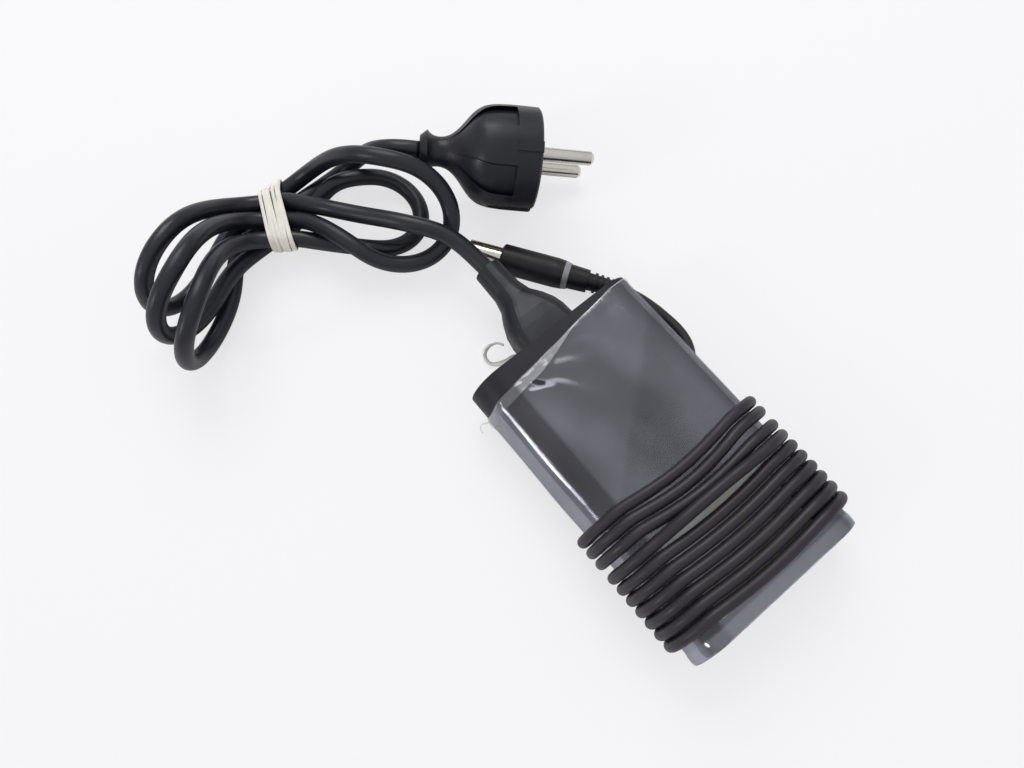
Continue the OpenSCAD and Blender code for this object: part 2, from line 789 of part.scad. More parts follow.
// A loop of the hank: a straight-ish run from `from` (heading out along v0), a
// round fold and a run back to `to` (heading in along v1). The fold's middle is
// at q, it points along azimuth az and elevation el, and its plane is rolled by
// roll; ra and rb are its depth and half-width, and spread is how far it turns.
function hank_loop(from, v0, to, v1, q, az, el, roll, ra, rb, spread, k0, k1) = let (
    tip = [cos(az) * cos(el), sin(az) * cos(el), sin(el)],
    level = unit(cross([0, 0, 1], tip)),
    up = cross(tip, level),
    across = cos(roll) * up + sin(roll) * level,
    fold = [for (k = [0:8]) let (a = spread * (k / 4 - 1))
        q + ra * cos(a) * tip + rb * sin(a) * across],
    along0 = unit(ra * sin(spread) * tip + rb * cos(spread) * across),
    along1 = unit(-ra * sin(spread) * tip + rb * cos(spread) * across),
    reach0 = k0 * norm(fold[0] - from),
    reach1 = k1 * norm(to - fold[8]))
    concat(
        [for (k = [0:7]) hermite(from, reach0 * v0, fold[0], reach0 * along0, k / 8)],
        fold,
        [for (k = [1:7]) hermite(fold[8], reach1 * along1, to, reach1 * v1, k / 7)]);

// Heading of a strand that rises or falls as it leaves the band
function sloping(a, slope) = unit([cos(a), sin(a), slope]);
over_slope = 0.48;
under_slope = -0.6;

// Places on either side of the band
function before(p, a) = p - half_band * flat_heading(a);
function after(p, a) = p + half_band * flat_heading(a);

// Loops that stand on edge, to the left of the band
loop_c = hank_loop(before(lower_c, lower_c_heading), -flat_heading(lower_c_heading),
    before(upper_c, upper_c_heading), flat_heading(upper_c_heading),
    [-129.8, -81.7, 20.8], -61.3, -11.7, 11.4, 18, 18.3, 75.3, 1.8, 1.21);
loop_b = hank_loop(before(lower_b, lower_b_heading), -flat_heading(lower_b_heading),
    before(upper_b, upper_b_heading), flat_heading(upper_b_heading),
    [-137.4, -82.4, 24.6], -70.3, -20.3, 2.1, 16.6, 16.3, 91.8, 1.17, 1.23);
loop_a = hank_loop(before(lower_a, lower_a_heading), -flat_heading(lower_a_heading),
    before(upper_a, upper_a_heading), flat_heading(upper_a_heading),
    [-152.2, -80.7, 18.7], -67.8, -6.5, -1.3, 16.2, 16.3, 88.1, 1.8, 1.14);
// Loops that lie down, to the right of the band; they rise over the plug's end.
// Where they leave the band, loop 1 passes over loop 2.
loop_2 = hank_loop(after(upper_c, upper_c_heading), sloping(upper_c_heading, under_slope),
    after(lower_b, lower_b_heading), -flat_heading(lower_b_heading),
    [-132.1, -13.9, 7.2], 61.7, -18, 92.3, 15.9, 15.5, 93.4, 0.6, 1.79);
loop_1 = hank_loop(after(upper_b, upper_b_heading), sloping(upper_b_heading, over_slope),
    after(lower_a, lower_a_heading), -flat_heading(lower_a_heading),
    [-121.1, -12.7, 19.9], 34.6, -23.3, 59.8, 20.6, 17.3, 104.6, 0.79, 1.32);

table = [0, 0, floor_z];
function raised(p) = [for (q = p) q + table];
hank_path = eased(raised(concat(
    [after(lower_c, lower_c_heading)], loop_c, loop_2, loop_b, loop_1, loop_a,
    [after(upper_a, upper_a_heading)])));

module mains_cord_hank() {
    echo(hank_least_gap = least_gap(finer(hank_path, 3), lead_r, 3 * lead_d),
         hank_length = length_of(hank_path));
    color([0.2, 0.21, 0.25]) tube(hank_path, lead_r, 6, [0, 0, 1]);
}

// Free stretch from the hank to the connector, over the loops and the barrel
connector_end_points = raised([
    upper_a,
    after(upper_a, upper_a_heading),
    [-140, -28.8, 15.8],
    [-130.6, -22, 16.6],
    [-115.1, -12, 20.6],
    [-102.3, -3.1, 18.5],
    [relief_x, 0, -floor_z],
    [relief_x + 8, 0, -floor_z]
]);
connector_end_path = through(connector_end_points, 2);

module mains_cord_connector_end() {
    echo(connector_end_length = length_of(connector_end_path));
    color([0.2, 0.21, 0.25]) tube(connector_end_path, lead_r, 8, [0, 0, 1],
        flat_heading(upper_a_heading), [1, 0, 0]);
}

// Frame of the mains plug: +X here is the way its pins point
function plug_axis() = [
    cos(plug_heading) * cos(plug_tip_down), sin(plug_heading) * cos(plug_tip_down),
    -sin(plug_tip_down)];
module plug_place() {
    translate(plug_face_at) rotate([plug_roll, plug_tip_down, plug_heading]) children();
}

// Free stretch from the plug's collar down and under the loops into the band
plug_end_at = plug_face_at - plug_l * plug_axis() - table;
plug_end_points = raised([
    plug_end_at + 8 * plug_axis(),
    plug_end_at,
    plug_end_at - 8 * plug_axis(),
    [-145.4, -3.6, 21.3],
    [-152.7, -6.2, 10.7],
    [-156.5, -16, 3.2],
    [-156.5, -33.3, 3],
    after(lower_c, lower_c_heading),
    lower_c
]);
plug_end_path = through(plug_end_points, 2);

module mains_cord_plug_end() {
    echo(plug_end_length = length_of(plug_end_path));
    color([0.2, 0.21, 0.25]) tube(plug_end_path, lead_r, 8, [0, 0, 1],
        -plug_axis(), -flat_heading(lower_c_heading));
}

// Band round the strands. It widens with them towards the loops that lie down.
band_heading = 67;
band_at = [-153.2, -43.3];
band_slack = 0.4;
band_lift = 0.1;
band_along = [cos(band_heading), sin(band_heading)];
band_across = [sin(band_heading), -cos(band_heading)];

// How far to the side a strand is, and how far its skin is, at a place t along
// the band; s is the side
function beside(p, a, t, s) = let (d = [p.x, p.y] - band_at)
    d * band_across + (t - d * band_along) * tan(band_heading - a)
    + s * (lead_r / cos(band_heading - a) + band_slack);

// Where the outer strands of each layer have their skin
function lower_left(t) = beside(lower_a, lower_a_heading, t, -1);
function lower_right(t) = beside(lower_b, lower_b_heading, t, 1);
function upper_left(t) = beside(upper_a, upper_a_heading, t, -1);
function upper_right(t) = beside(upper_c, upper_c_heading, t, 1);

// The band is drawn tight round the two layers
module band_slice(t, grow) {
    r = lead_r + band_slack;
    corners = [
        [lower_left(t) + r, lower_z], [lower_right(t) - r, lower_z],
        [upper_left(t) + r, upper_z], [upper_right(t) - r, upper_z]];
    along_x(t - eps, t) hull()
        for (c = corners) translate([-c.x, c.y + band_lift]) circle(r + grow, $fn = 32);
}

module band_form(reach, grow) {
    hull() {
        band_slice(-reach, grow);
        band_slice(reach, grow);
    }
}

module rubber_band() {
    color([0.9, 0.88, 0.8])
        translate([band_at.x, band_at.y, floor_z]) rotate([0, 0, band_heading])
        difference() {
            band_form(band_w / 2, band_t);
            band_form(band_w / 2 + 0.5, 0);
        }
}

// ---------------------------------------------------------------- mains plug

// Half outline of the moulding: distance behind the face and radius. The grip
// narrows to a neck and flares to a collar.
plug_curve = through([
    [-6, head_r], [0.7, head_r], [8, head_r], [12, head_r - 0.1], [16, head_r - 0.45],
    [19, head_r - 1.2], [21, head_r - 2.3], [23, head_r - 4], [25, head_r - 6.4],
    [27, head_r - 8.9], [29, head_r - 10.9], [31, head_r - 12.2],
    [plug_l - 7.8, plug_neck_r + 0.05], [plug_l - 5.8, plug_neck_r],
    [plug_l - 4, plug_neck_r + 0.55], [plug_l - flange_l, flange_r],
    [plug_l - 1.5, flange_r + 1.4]
], 3);
plug_outline = concat([[0, 0], [0, head_r - 0.7]], plug_curve, [
    [plug_l - 0.2, plug_neck_r], [plug_l, plug_neck_r - 0.2], [plug_l, 0]
]);

module turned_form(outline) {
    rotate([0, -90, 0]) rotate_extrude() polygon([for (p = outline) [p[1], p[0]]]);
}

// Finger recesses: four hollows between two angles round the grip. They narrow
// and get shallow towards the neck.
recess_front = 8.5;
recess_back = 31;
recess_fade_from = 17;
recess_ridge_angles = [21.5, 14];
recess_rim_angles = [58, 41];
recess_curve = [for (p = plug_curve) if (p[0] > recess_front && p[0] < recess_back - 0.4) p];

function recess_fade(x) =
    min(1, max(0, (x - recess_fade_from) / (recess_back - recess_fade_from)));
function recess_side(x, r, angles) =
    [-x, r * sin(angles[0] + (angles[1] - angles[0]) * recess_fade(x))];

module recess_prism() {
    n = len(recess_curve);
    linear_extrude(head_r + 2) polygon(concat(
        [recess_side(recess_front, head_r, recess_ridge_angles)],
        [for (p = recess_curve) recess_side(p[0], p[1], recess_ridge_angles)],
        [for (i = [n - 1:-1:0])
            recess_side(recess_curve[i][0], recess_curve[i][1], recess_rim_angles)],
        [recess_side(recess_front, head_r, recess_rim_angles)]));
}

module recess_floor() {
    turned_form(concat([[0, 0]],
        [for (p = plug_curve) if (p[0] < recess_back)
            [p[0], p[1] - grip_depth * (1 - recess_fade(p[0]))]],
        [[recess_back, plug_neck_r], [recess_back, 0]]));
}

// Raised key on the head, in line with the pins
key_l = 9.9;
key_w = 3.6;
key_h = 0.5;

module guide_key() {
    rotate([90, 0, 0]) linear_extrude(key_w, center = true) polygon([
        [-key_l, head_r - 1], [-key_l + 1.4, head_r + key_h], [0, head_r + key_h],
        [0, head_r - 2]]);
}

pin_step = 0.6;
groove_depth = 1.4;

module mains_plug_body() {
    color([0.15, 0.16, 0.19]) plug_place() difference() {
        union() {
            turned_form(plug_outline);
            for (s = [-1, 1]) scale([1, 1, s]) guide_key();
        }
        for (sy = [-1, 1], sz = [-1, 1]) scale([1, sy, sz]) difference() {
            recess_prism();
            recess_floor();
        }
        // grooves that hold the earth clips
        for (s = [-1, 1]) scale([1, s, 1])
            box([-clip_l, head_r - groove_depth - clip_t, -clip_w / 2 - fit_gap],
                [1, head_r + 1, clip_w / 2 + fit_gap]);
        for (s = [-1, 1]) translate([-pin_root, 0, s * pin_span / 2]) rotate([0, 90, 0])
            cylinder(r = pin_r - pin_step + seat_gap, h = pin_root + 1);
        translate([-socket_l - 1, socket_offset, 0]) rotate([0, 90, 0])
            cylinder(r = socket_r + 0.6 + seat_gap, h = socket_l + 2);
    }
}

module mains_plug_pins() {
    color([0.82, 0.81, 0.78]) plug_place() for (s = [-1, 1])
        translate([-pin_root, 0, s * pin_span / 2]) rotate([0, 90, 0]) union() {
            cylinder(r = pin_r - pin_step, h = pin_root + 1);
            translate([0, 0, pin_root]) cylinder(r = pin_r, h = pin_l - 1);
            translate([0, 0, pin_root + pin_l - 1]) cylinder(r1 = pin_r, r2 = pin_r - 0.9, h = 1);
        }
}

module earth_clips() {
    color([0.78, 0.74, 0.62]) plug_place() for (s = [-1, 1]) scale([1, s, 1])
        box([-clip_l, head_r - groove_depth - clip_t, -clip_w / 2],
            [-0.5, head_r - groove_depth, clip_w / 2]);
}

module earth_socket() {
    color([0.8, 0.78, 0.7]) plug_place() translate([-socket_l, socket_offset, 0])
        rotate([0, 90, 0]) difference() {
            cylinder(r = socket_r + 0.6, h = socket_l);
            translate([0, 0, -1]) cylinder(r = socket_r, h = socket_l + 2);
        }
}

// ---------------------------------------------------------------- assembly

top_shell();
bottom_shell();
film_wrap();
rating_label();
ac_inlet();
inlet_pins();
circuit_board();
insulation_sheet();
transformer_core();
transformer_coil();
bulk_capacitor();
output_capacitors();
filter_choke();
filter_capacitor();
primary_heat_sink();
secondary_heat_sink();
switch_transistor();
output_rectifier();
fuse();
dc_gland();
dc_cord_winding();
dc_cord_tail();
dc_plug_body();
dc_plug_light_ring();
dc_plug_collar();
dc_plug_strain_relief();
dc_plug_barrel();
dc_plug_insulator();
dc_plug_centre_pin();
connector_body();
connector_contacts();
mains_cord_connector_end();
mains_cord_hank();
mains_cord_plug_end();
rubber_band();
mains_plug_body();
mains_plug_pins();
earth_clips();
earth_socket();
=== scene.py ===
import bpy
import bmesh
from math import atan2, cos, pi, radians, sin, sqrt, tan
from mathutils import Matrix, Vector, noise

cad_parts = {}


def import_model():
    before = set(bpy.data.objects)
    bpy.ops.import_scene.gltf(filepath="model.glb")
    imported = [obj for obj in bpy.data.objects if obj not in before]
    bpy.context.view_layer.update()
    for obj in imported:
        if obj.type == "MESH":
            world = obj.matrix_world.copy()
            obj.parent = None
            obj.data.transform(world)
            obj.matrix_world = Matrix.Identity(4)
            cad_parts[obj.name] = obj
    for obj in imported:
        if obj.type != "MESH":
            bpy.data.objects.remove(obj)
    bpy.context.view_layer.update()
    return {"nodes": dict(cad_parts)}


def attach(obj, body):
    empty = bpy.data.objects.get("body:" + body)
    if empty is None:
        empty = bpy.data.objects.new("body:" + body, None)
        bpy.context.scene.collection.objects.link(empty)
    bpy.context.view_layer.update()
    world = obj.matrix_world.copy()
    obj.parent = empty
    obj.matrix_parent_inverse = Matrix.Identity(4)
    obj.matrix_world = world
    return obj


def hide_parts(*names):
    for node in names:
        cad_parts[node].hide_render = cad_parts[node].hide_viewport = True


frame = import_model()
MM = 0.001

# ------------------------------------------------------------------ camera
# A plain perspective camera where the photograph was taken from, in millimetres
focal_pixels, frame_pixels = 800, 1024
camera_at = Vector((12.85, -70.47, 250.21)) * MM
camera_right = Vector((0.6355, 0.7721, 0)).normalized()
camera_back = -Vector((-0.2348, 0.1933, -0.9526)).normalized()
camera_up = camera_back.cross(camera_right).normalized()
camera_right = camera_up.cross(camera_back).normalized()
camera_data = bpy.data.cameras.new("camera")
camera_data.sensor_width = 36
camera_data.lens = 36 * focal_pixels / frame_pixels
camera_data.clip_start = 0.01
camera_data.clip_end = 20
camera = bpy.data.objects.new("camera", camera_data)
bpy.context.scene.collection.objects.link(camera)
camera.matrix_world = Matrix((
    (camera_right.x, camera_up.x, camera_back.x, camera_at.x),
    (camera_right.y, camera_up.y, camera_back.y, camera_at.y),
    (camera_right.z, camera_up.z, camera_back.z, camera_at.z),
    (0, 0, 0, 1)))
bpy.context.scene.camera = camera

# ------------------------------------------------------------------ sizes, mm
# The same values as the part's source
end_x, side_r, flat_y, wall = 53.0, 11.0, 22.0, 2.2
cord_r, lead_r = 1.9, 3.0
wind_gap = 0.4
flat_cut = 0.4  # how far the turns are flattened on the table
wind_r = side_r + wind_gap + cord_r
floor_z = -(side_r + wind_gap + 2 * cord_r - flat_cut)
turns, pitch, first_turn_x = 10, 4.24, 4.8
wide_step, wide_step_turn, far_side_lead = 1.4, 3, 0.6
flange_r, seat_gap = 3.1, 0.05
trough_x = end_x - wall - flange_r - seat_gap
inner_r = side_r - wall
gland_y, gland_z = -1.4, -inner_r + flange_r + seat_gap


def link(name, mesh, smooth=True):
    """An object of the mesh, in the scene."""
    obj = bpy.data.objects.new(name, mesh)
    bpy.context.scene.collection.objects.link(obj)
    if smooth:
        for face in mesh.polygons:
            face.use_smooth = True
    return obj


def from_lists(name, points, faces):
    """A smooth-shaded object of points in metres and faces."""
    mesh = bpy.data.meshes.new(name)
    mesh.from_pydata([tuple(p) for p in points], [], faces)
    mesh.validate()
    mesh.update()
    return link(name, mesh)


# ------------------------------------------------------------------ paths

def hermite(p0, m0, p1, m1, t):
    """Place at share t of a cubic from p0 to p1 with end tangents m0 and m1."""
    return ((2 * t ** 3 - 3 * t ** 2 + 1) * p0 + (t ** 3 - 2 * t ** 2 + t) * m0
            + (3 * t ** 2 - 2 * t ** 3) * p1 + (t ** 3 - t ** 2) * m1)


def through(points, steps):
    """Smooth curve through all but the first and last point."""
    out = []
    for i in range(1, len(points) - 2):
        a, b, c, d = points[i - 1:i + 3]
        out += [hermite(b, (c - a) / 2, c, (d - b) / 2, k / steps) for k in range(steps)]
    return out + [points[-2]]


def rounded_through(points, steps):
    """Smooth curve through every point, with tangents that fit uneven spacing."""
    p = [2 * points[0] - points[1]] + points + [2 * points[-1] - points[-2]]
    out = []
    for i in range(1, len(p) - 2):
        d0 = (p[i] - p[i - 1]).length
        d1 = (p[i + 1] - p[i]).length
        d2 = (p[i + 2] - p[i + 1]).length
        m0 = ((p[i] - p[i - 1]) / d0 * d1 + (p[i + 1] - p[i]) / d1 * d0) / (d0 + d1)
        m1 = ((p[i + 1] - p[i]) / d1 * d2 + (p[i + 2] - p[i + 1]) / d2 * d1) / (d1 + d2)
        out += [hermite(p[i], m0 * d1, p[i + 1], m1 * d1, k / steps) for k in range(steps)]
    return out + [points[-1]]


def evened(points, step):
    """The same curve with points an even step apart."""
    lengths = [0.0]
    for a, b in zip(points, points[1:]):
        lengths.append(lengths[-1] + (b - a).length)
    n = max(2, round(lengths[-1] / step))
    out, i = [], 0
    for k in range(n + 1):
        s = lengths[-1] * k / n
        while i < len(points) - 2 and lengths[i + 1] < s:
            i += 1
        f = (s - lengths[i]) / max(1e-9, lengths[i + 1] - lengths[i])
        out.append(points[i].lerp(points[i + 1], f))
    return out


def smoothed(points, times):
    """Corners eased; the ends stay."""
    for _ in range(times):
        points = points[:1] + [
            (a + 2 * b + c) / 4 for a, b, c in zip(points, points[1:], points[2:])
        ] + points[-1:]
    return points


def heading(angle):
    """Level unit vector, angle in degrees from +X towards +Y."""
    return Vector((cos(radians(angle)), sin(radians(angle)), 0))


def smoothstep(t):
    """Soft step from 0 to 1 as t goes from 0 to 1."""
    t = min(1, max(0, t))
    return t * t * (3 - 2 * t)


# --- output cord: from its bushing round the housing, then to its plug

def near_x(t):
    """Where turn t crosses the near long side."""
    return first_turn_x + pitch * t + (wide_step if t >= wide_step_turn else 0)


def far_x(t):
    """Where turn t crosses the far long side."""
    return (first_turn_x + far_side_lead + pitch * t
            + (wide_step if t >= wide_step_turn - 1 else 0))


bow = [2, 2.6, 2.1, -0.4]  # sideways bow of the first turns on the top
later_bow = 1.2
ride_up = 3.5  # how far one turn climbs onto the next
ride_side = 0.42 * ride_up  # what is left of that where it meets the far side
round_steps, top_steps, under_steps = 24, 32, 16


def turn_points(t):
    """One turn: near side, top, far side, underneath."""
    out = []
    for k in range(round_steps):
        a = radians(180 * k / round_steps)
        out.append(Vector((near_x(t), -flat_y - wind_r * sin(a), -wind_r * cos(a))))
    b = bow[t] if t < len(bow) else later_bow
    for k in range(top_steps):
        u = k / top_steps
        x = near_x(t) + (far_x(t) - near_x(t)) * u + b * sin(pi * u)
        up = 0
        if t == wide_step_turn:
            up = ride_up * smoothstep(u * 3.6) * (1 - smoothstep((u - 0.74) / 0.46))
        out.append(Vector((x, -flat_y + 2 * flat_y * u, wind_r + up)))
    lift = ride_side if t == wide_step_turn else 0
    for k in range(round_steps):
        a = radians(180 * k / round_steps)
        fade = 1 - smoothstep(3 * k / round_steps)
        out.append(Vector((far_x(t), flat_y + wind_r * sin(a),
                           wind_r * cos(a) + lift * fade)))
    if t == turns - 1:
        return out + [Vector((far_x(t), flat_y, -wind_r))]
    for k in range(under_steps):
        u = k / under_steps
        x = far_x(t) + (near_x(t + 1) - far_x(t)) * u
        out.append(Vector((x, flat_y - 2 * flat_y * u, -wind_r)))
    return out


wind_start = Vector((-10.5, flat_y, -wind_r))
wind_first = Vector((near_x(0), -flat_y, -wind_r))
winding = [wind_start.lerp(wind_first, k / under_steps) for k in range(under_steps)]
for t in range(turns):
    winding += turn_points(t)
lead_out = [
    Vector((far_x(turns - 1), flat_y, -wind_r)),
    Vector((trough_x - 2.1, 18, -wind_r + 0.4)),
    Vector((trough_x - 0.7, 14, -wind_r + 1.9)),
    Vector((trough_x - 0.1, 10, -wind_r + 3.9)),
    Vector((trough_x, 6, -wind_r + 5.9)),
    Vector((trough_x, gland_y + 2 * cord_r, gland_z)),
    Vector((trough_x, gland_y, gland_z)),
]
winding = winding[:-1] + rounded_through(lead_out, 8)

dc_body_r, ring_w, collar_l, dc_relief_l = 5.35, 2.0, 7.0, 11.3
dc_ring_at = Vector((-70.2, 22.9, floor_z + dc_body_r))
dc_heading = 214
tail_z = floor_z + cord_r
tail_start = dc_ring_at - (collar_l + ring_w / 2 + dc_relief_l) * heading(dc_heading)
tail = through([
    tail_start + 8 * heading(dc_heading),
    tail_start,
    Vector((-49.5, 36.8, floor_z + 4.2)),
    Vector((-43.5, 39.3, floor_z + 2.6)),
    Vector((-37, 40.6, tail_z)),
    Vector((-30, 41, tail_z)),
    Vector((-24, 39.8, tail_z)),
    Vector((-19, 36.4, tail_z)),
    Vector((-15, 31, tail_z)),
    wind_start,
    wind_start.lerp(wind_first, 0.25),
], 10)
dc_path = tail[:-1] + winding
dc_path = smoothed(evened(dc_path, 1.1), 3)
dc_path.reverse()

# --- mains lead: from the connector through the hank to the plug
# Strands in the band: three below and three above, each a place and a heading;
# heights are above the table
band_t, band_slack, band_rest = 0.5, 0.4, 0.3
upper_z = 2 * lead_r * 1.5 + 2 * band_t + band_rest
lower_z = lead_r + band_t + band_rest
upper_a, upper_a_heading = Vector((-157.5, -40.9, upper_z)), 59
upper_b, upper_b_heading = Vector((-149.5, -43.1, upper_z)), 50
upper_c, upper_c_heading = Vector((-143.1, -46.7, upper_z)), 54
lower_a, lower_a_heading = Vector((-163.1, -41.1, lower_z)), 92
lower_b, lower_b_heading = Vector((-149.3, -45.9, lower_z)), 92
lower_c, lower_c_heading = Vector((-156.4, -41.3, lower_z)), 92
over_slope, under_slope = 0.48, -0.6
half_band = 4


def sloping(angle, slope):
    """Heading of a strand that rises or falls as it leaves the band."""
    return (heading(angle) + Vector((0, 0, slope))).normalized()


def before(p, a):
    """Place on the near side of the band."""
    return p - half_band * heading(a)


def after(p, a):
    """Place on the side of the band where the loops lie down."""
    return p + half_band * heading(a)


def hank_loop(start, v0, end, v1, q, az, el, roll, ra, rb, spread, k0, k1):
    """A loop from start along v0 to end along v1. Its fold is an arc of an
    ellipse round q, spread degrees to each side of its tip, with half axes ra
    towards the tip and rb across; az and el aim the tip and roll turns the
    fold about it. k0 and k1 say how taut the runs in and out are."""
    fold_steps, out_steps = 48, 42
    az, el, roll = radians(az), radians(el), radians(roll)
    tip = Vector((cos(az) * cos(el), sin(az) * cos(el), sin(el)))
    level = Vector((0, 0, 1)).cross(tip).normalized()
    up = tip.cross(level)
    across = cos(roll) * up + sin(roll) * level
    q = Vector(q)
    arc = radians(spread)
    fold = []
    for k in range(fold_steps + 1):
        a = arc * (2 * k / fold_steps - 1)
        fold.append(q + ra * cos(a) * tip + rb * sin(a) * across)
    along0 = (ra * sin(arc) * tip + rb * cos(arc) * across).normalized()
    along1 = (-ra * sin(arc) * tip + rb * cos(arc) * across).normalized()
    reach0 = k0 * (fold[0] - start).length
    reach1 = k1 * (end - fold[-1]).length
    run_in = [hermite(start, reach0 * v0, fold[0], reach0 * along0, k / fold_steps)
              for k in range(fold_steps)]
    run_out = [hermite(fold[-1], reach1 * along1, end, reach1 * v1, k / out_steps)
               for k in range(1, out_steps + 1)]
    return run_in + fold + run_out


# Loops that stand on edge, on the near side of the band
loop_c = hank_loop(before(lower_c, lower_c_heading), -heading(lower_c_heading),
                   before(upper_c, upper_c_heading), heading(upper_c_heading),
                   (-129.8, -81.7, 20.8), -61.3, -11.7, 11.4, 18, 18.3, 75.3, 1.8, 1.21)
loop_b = hank_loop(before(lower_b, lower_b_heading), -heading(lower_b_heading),
                   before(upper_b, upper_b_heading), heading(upper_b_heading),
                   (-137.4, -82.4, 24.6), -70.3, -20.3, 2.1, 16.6, 16.3, 91.8, 1.17, 1.23)
loop_a = hank_loop(before(lower_a, lower_a_heading), -heading(lower_a_heading),
                   before(upper_a, upper_a_heading), heading(upper_a_heading),
                   (-152.2, -80.7, 18.7), -67.8, -6.5, -1.3, 16.2, 16.3, 88.1, 1.8, 1.14)
# Loops that lie down, on its other side; loop 1 passes over loop 2
loop_2 = hank_loop(after(upper_c, upper_c_heading), sloping(upper_c_heading, under_slope),
                   after(lower_b, lower_b_heading), -heading(lower_b_heading),
                   (-132.1, -13.9, 7.2), 61.7, -18, 92.3, 15.9, 15.5, 93.4, 0.6, 1.79)
loop_1 = hank_loop(after(upper_b, upper_b_heading), sloping(upper_b_heading, over_slope),
                   after(lower_a, lower_a_heading), -heading(lower_a_heading),
                   (-121.1, -12.7, 19.9), 34.6, -23.3, 59.8, 20.6, 17.3, 104.6, 0.79, 1.32)


table = Vector((0, 0, floor_z))


def raised(points):
    """Heights above the table turned into places in the frame."""
    return [p + table for p in points]


def straight(a, b):
    """The run of a strand through the band, without its last point."""
    return [a.lerp(b, k / 4) for k in range(4)]


def onward(p, a):
    return straight(before(p, a), after(p, a))[1:]


def back(p, a):
    return straight(after(p, a), before(p, a))[1:]


hank = raised(
    [after(lower_c, lower_c_heading)] + back(lower_c, lower_c_heading)
    + loop_c + onward(upper_c, upper_c_heading)
    + loop_2 + back(lower_b, lower_b_heading)
    + loop_b + onward(upper_b, upper_b_heading)
    + loop_1 + back(lower_a, lower_a_heading)
    + loop_a + onward(upper_a, upper_a_heading)
    + [after(upper_a, upper_a_heading)])

# Free stretch from the hank to the connector, over the loops and the barrel
connector_gap, connector_l = 0.3, 32.5
relief_x = -end_x - connector_gap - connector_l
connector_end = through(raised([
    upper_a,
    after(upper_a, upper_a_heading),
    Vector((-140, -28.8, 15.8)),
    Vector((-130.6, -22, 16.6)),
    Vector((-115.1, -12, 20.6)),
    Vector((-102.3, -3.1, 18.5)),
    Vector((relief_x, 0, -floor_z)),
    Vector((relief_x + 8, 0, -floor_z)),
]), 10)

# Free stretch from the mains plug down and under the loops into the band
plug_face_at = Vector((-107.5, 38.9, floor_z + 17.8))
plug_roll, plug_tip_down, plug_heading = 19, 9.7, 50.8
plug_l = 40.8
plug_turn = (Matrix.Rotation(radians(plug_heading), 4, "Z")
             @ Matrix.Rotation(radians(plug_tip_down), 4, "Y")
             @ Matrix.Rotation(radians(plug_roll), 4, "X"))
plug_axis = (plug_turn @ Vector((1, 0, 0))).normalized()
plug_end_at = plug_face_at - plug_l * plug_axis
plug_end = through([
    plug_end_at + 8 * plug_axis,
    plug_end_at,
    plug_end_at - 8 * plug_axis,
    Vector((-145.4, -3.6, 21.3)) + table,
    Vector((-152.7, -6.2, 10.7)) + table,
    Vector((-156.5, -16, 3.2)) + table,
    Vector((-156.5, -33.3, 3)) + table,
    after(lower_c, lower_c_heading) + table,
    lower_c + table,
], 10)
lead_path = plug_end[:-1] + hank[:-1] + connector_end
lead_path = smoothed(evened(lead_path, 1.6), 6)
lead_path.reverse()


def tube(name, points, radius, sides):
    """Round tube along a path, closed at both ends. Sizes in millimetres."""
    n = len(points)
    tangents = [(points[min(i + 1, n - 1)] - points[max(i - 1, 0)]).normalized()
                for i in range(n)]
    side = Vector((0, 0, 1)).cross(tangents[0])
    if side.length < 0.1:
        side = Vector((1, 0, 0)).cross(tangents[0])
    side.normalize()
    verts = []
    for p, t in zip(points, tangents):
        side = (side - side.dot(t) * t).normalized()
        up = t.cross(side)
        for k in range(sides):
            a = 2 * pi * k / sides
            q = p + radius * (cos(a) * side + sin(a) * up)
            verts.append(Vector((q.x, q.y, max(q.z, floor_z))) * MM)
    faces = []
    for i in range(n - 1):
        for k in range(sides):
            a, b = i * sides + k, i * sides + (k + 1) % sides
            faces.append((a, b, b + sides, a + sides))
    faces.append(tuple(range(sides - 1, -1, -1)))
    faces.append(tuple(range((n - 1) * sides, n * sides)))
    return from_lists(name, verts, faces)


# ------------------------------------------------------------------ materials

def noise_node(tree, coords, scale, detail=4, rough=0.5, stretch=(1, 1, 1)):
    """Noise in the object's own space, stretched along its axes."""
    mapping = tree.nodes.new("ShaderNodeMapping")
    mapping.inputs["Scale"].default_value = stretch
    tree.links.new(coords.outputs["Object"], mapping.inputs["Vector"])
    node = tree.nodes.new("ShaderNodeTexNoise")
    node.inputs["Scale"].default_value = scale
    node.inputs["Detail"].default_value = detail
    node.inputs["Roughness"].default_value = rough
    tree.links.new(mapping.outputs["Vector"], node.inputs["Vector"])
    return node


def span_node(tree, source, low, high, start=0.3, end=0.7):
    """The source's values from start to end, mapped to low to high."""
    node = tree.nodes.new("ShaderNodeMapRange")
    node.inputs["From Min"].default_value = start
    node.inputs["From Max"].default_value = end
    node.inputs["To Min"].default_value = low
    node.inputs["To Max"].default_value = high
    tree.links.new(source, node.inputs["Value"])
    return node


def ramp_node(tree, source, stops):
    """A colour ramp over the source, from (place, colour) stops."""
    node = tree.nodes.new("ShaderNodeValToRGB")
    ramp = node.color_ramp
    while len(ramp.elements) < len(stops):
        ramp.elements.new(0.5)
    for element, (place, colour) in zip(ramp.elements, stops):
        element.position = place
        element.color = (*colour, 1)
    tree.links.new(source, node.inputs["Fac"])
    return node


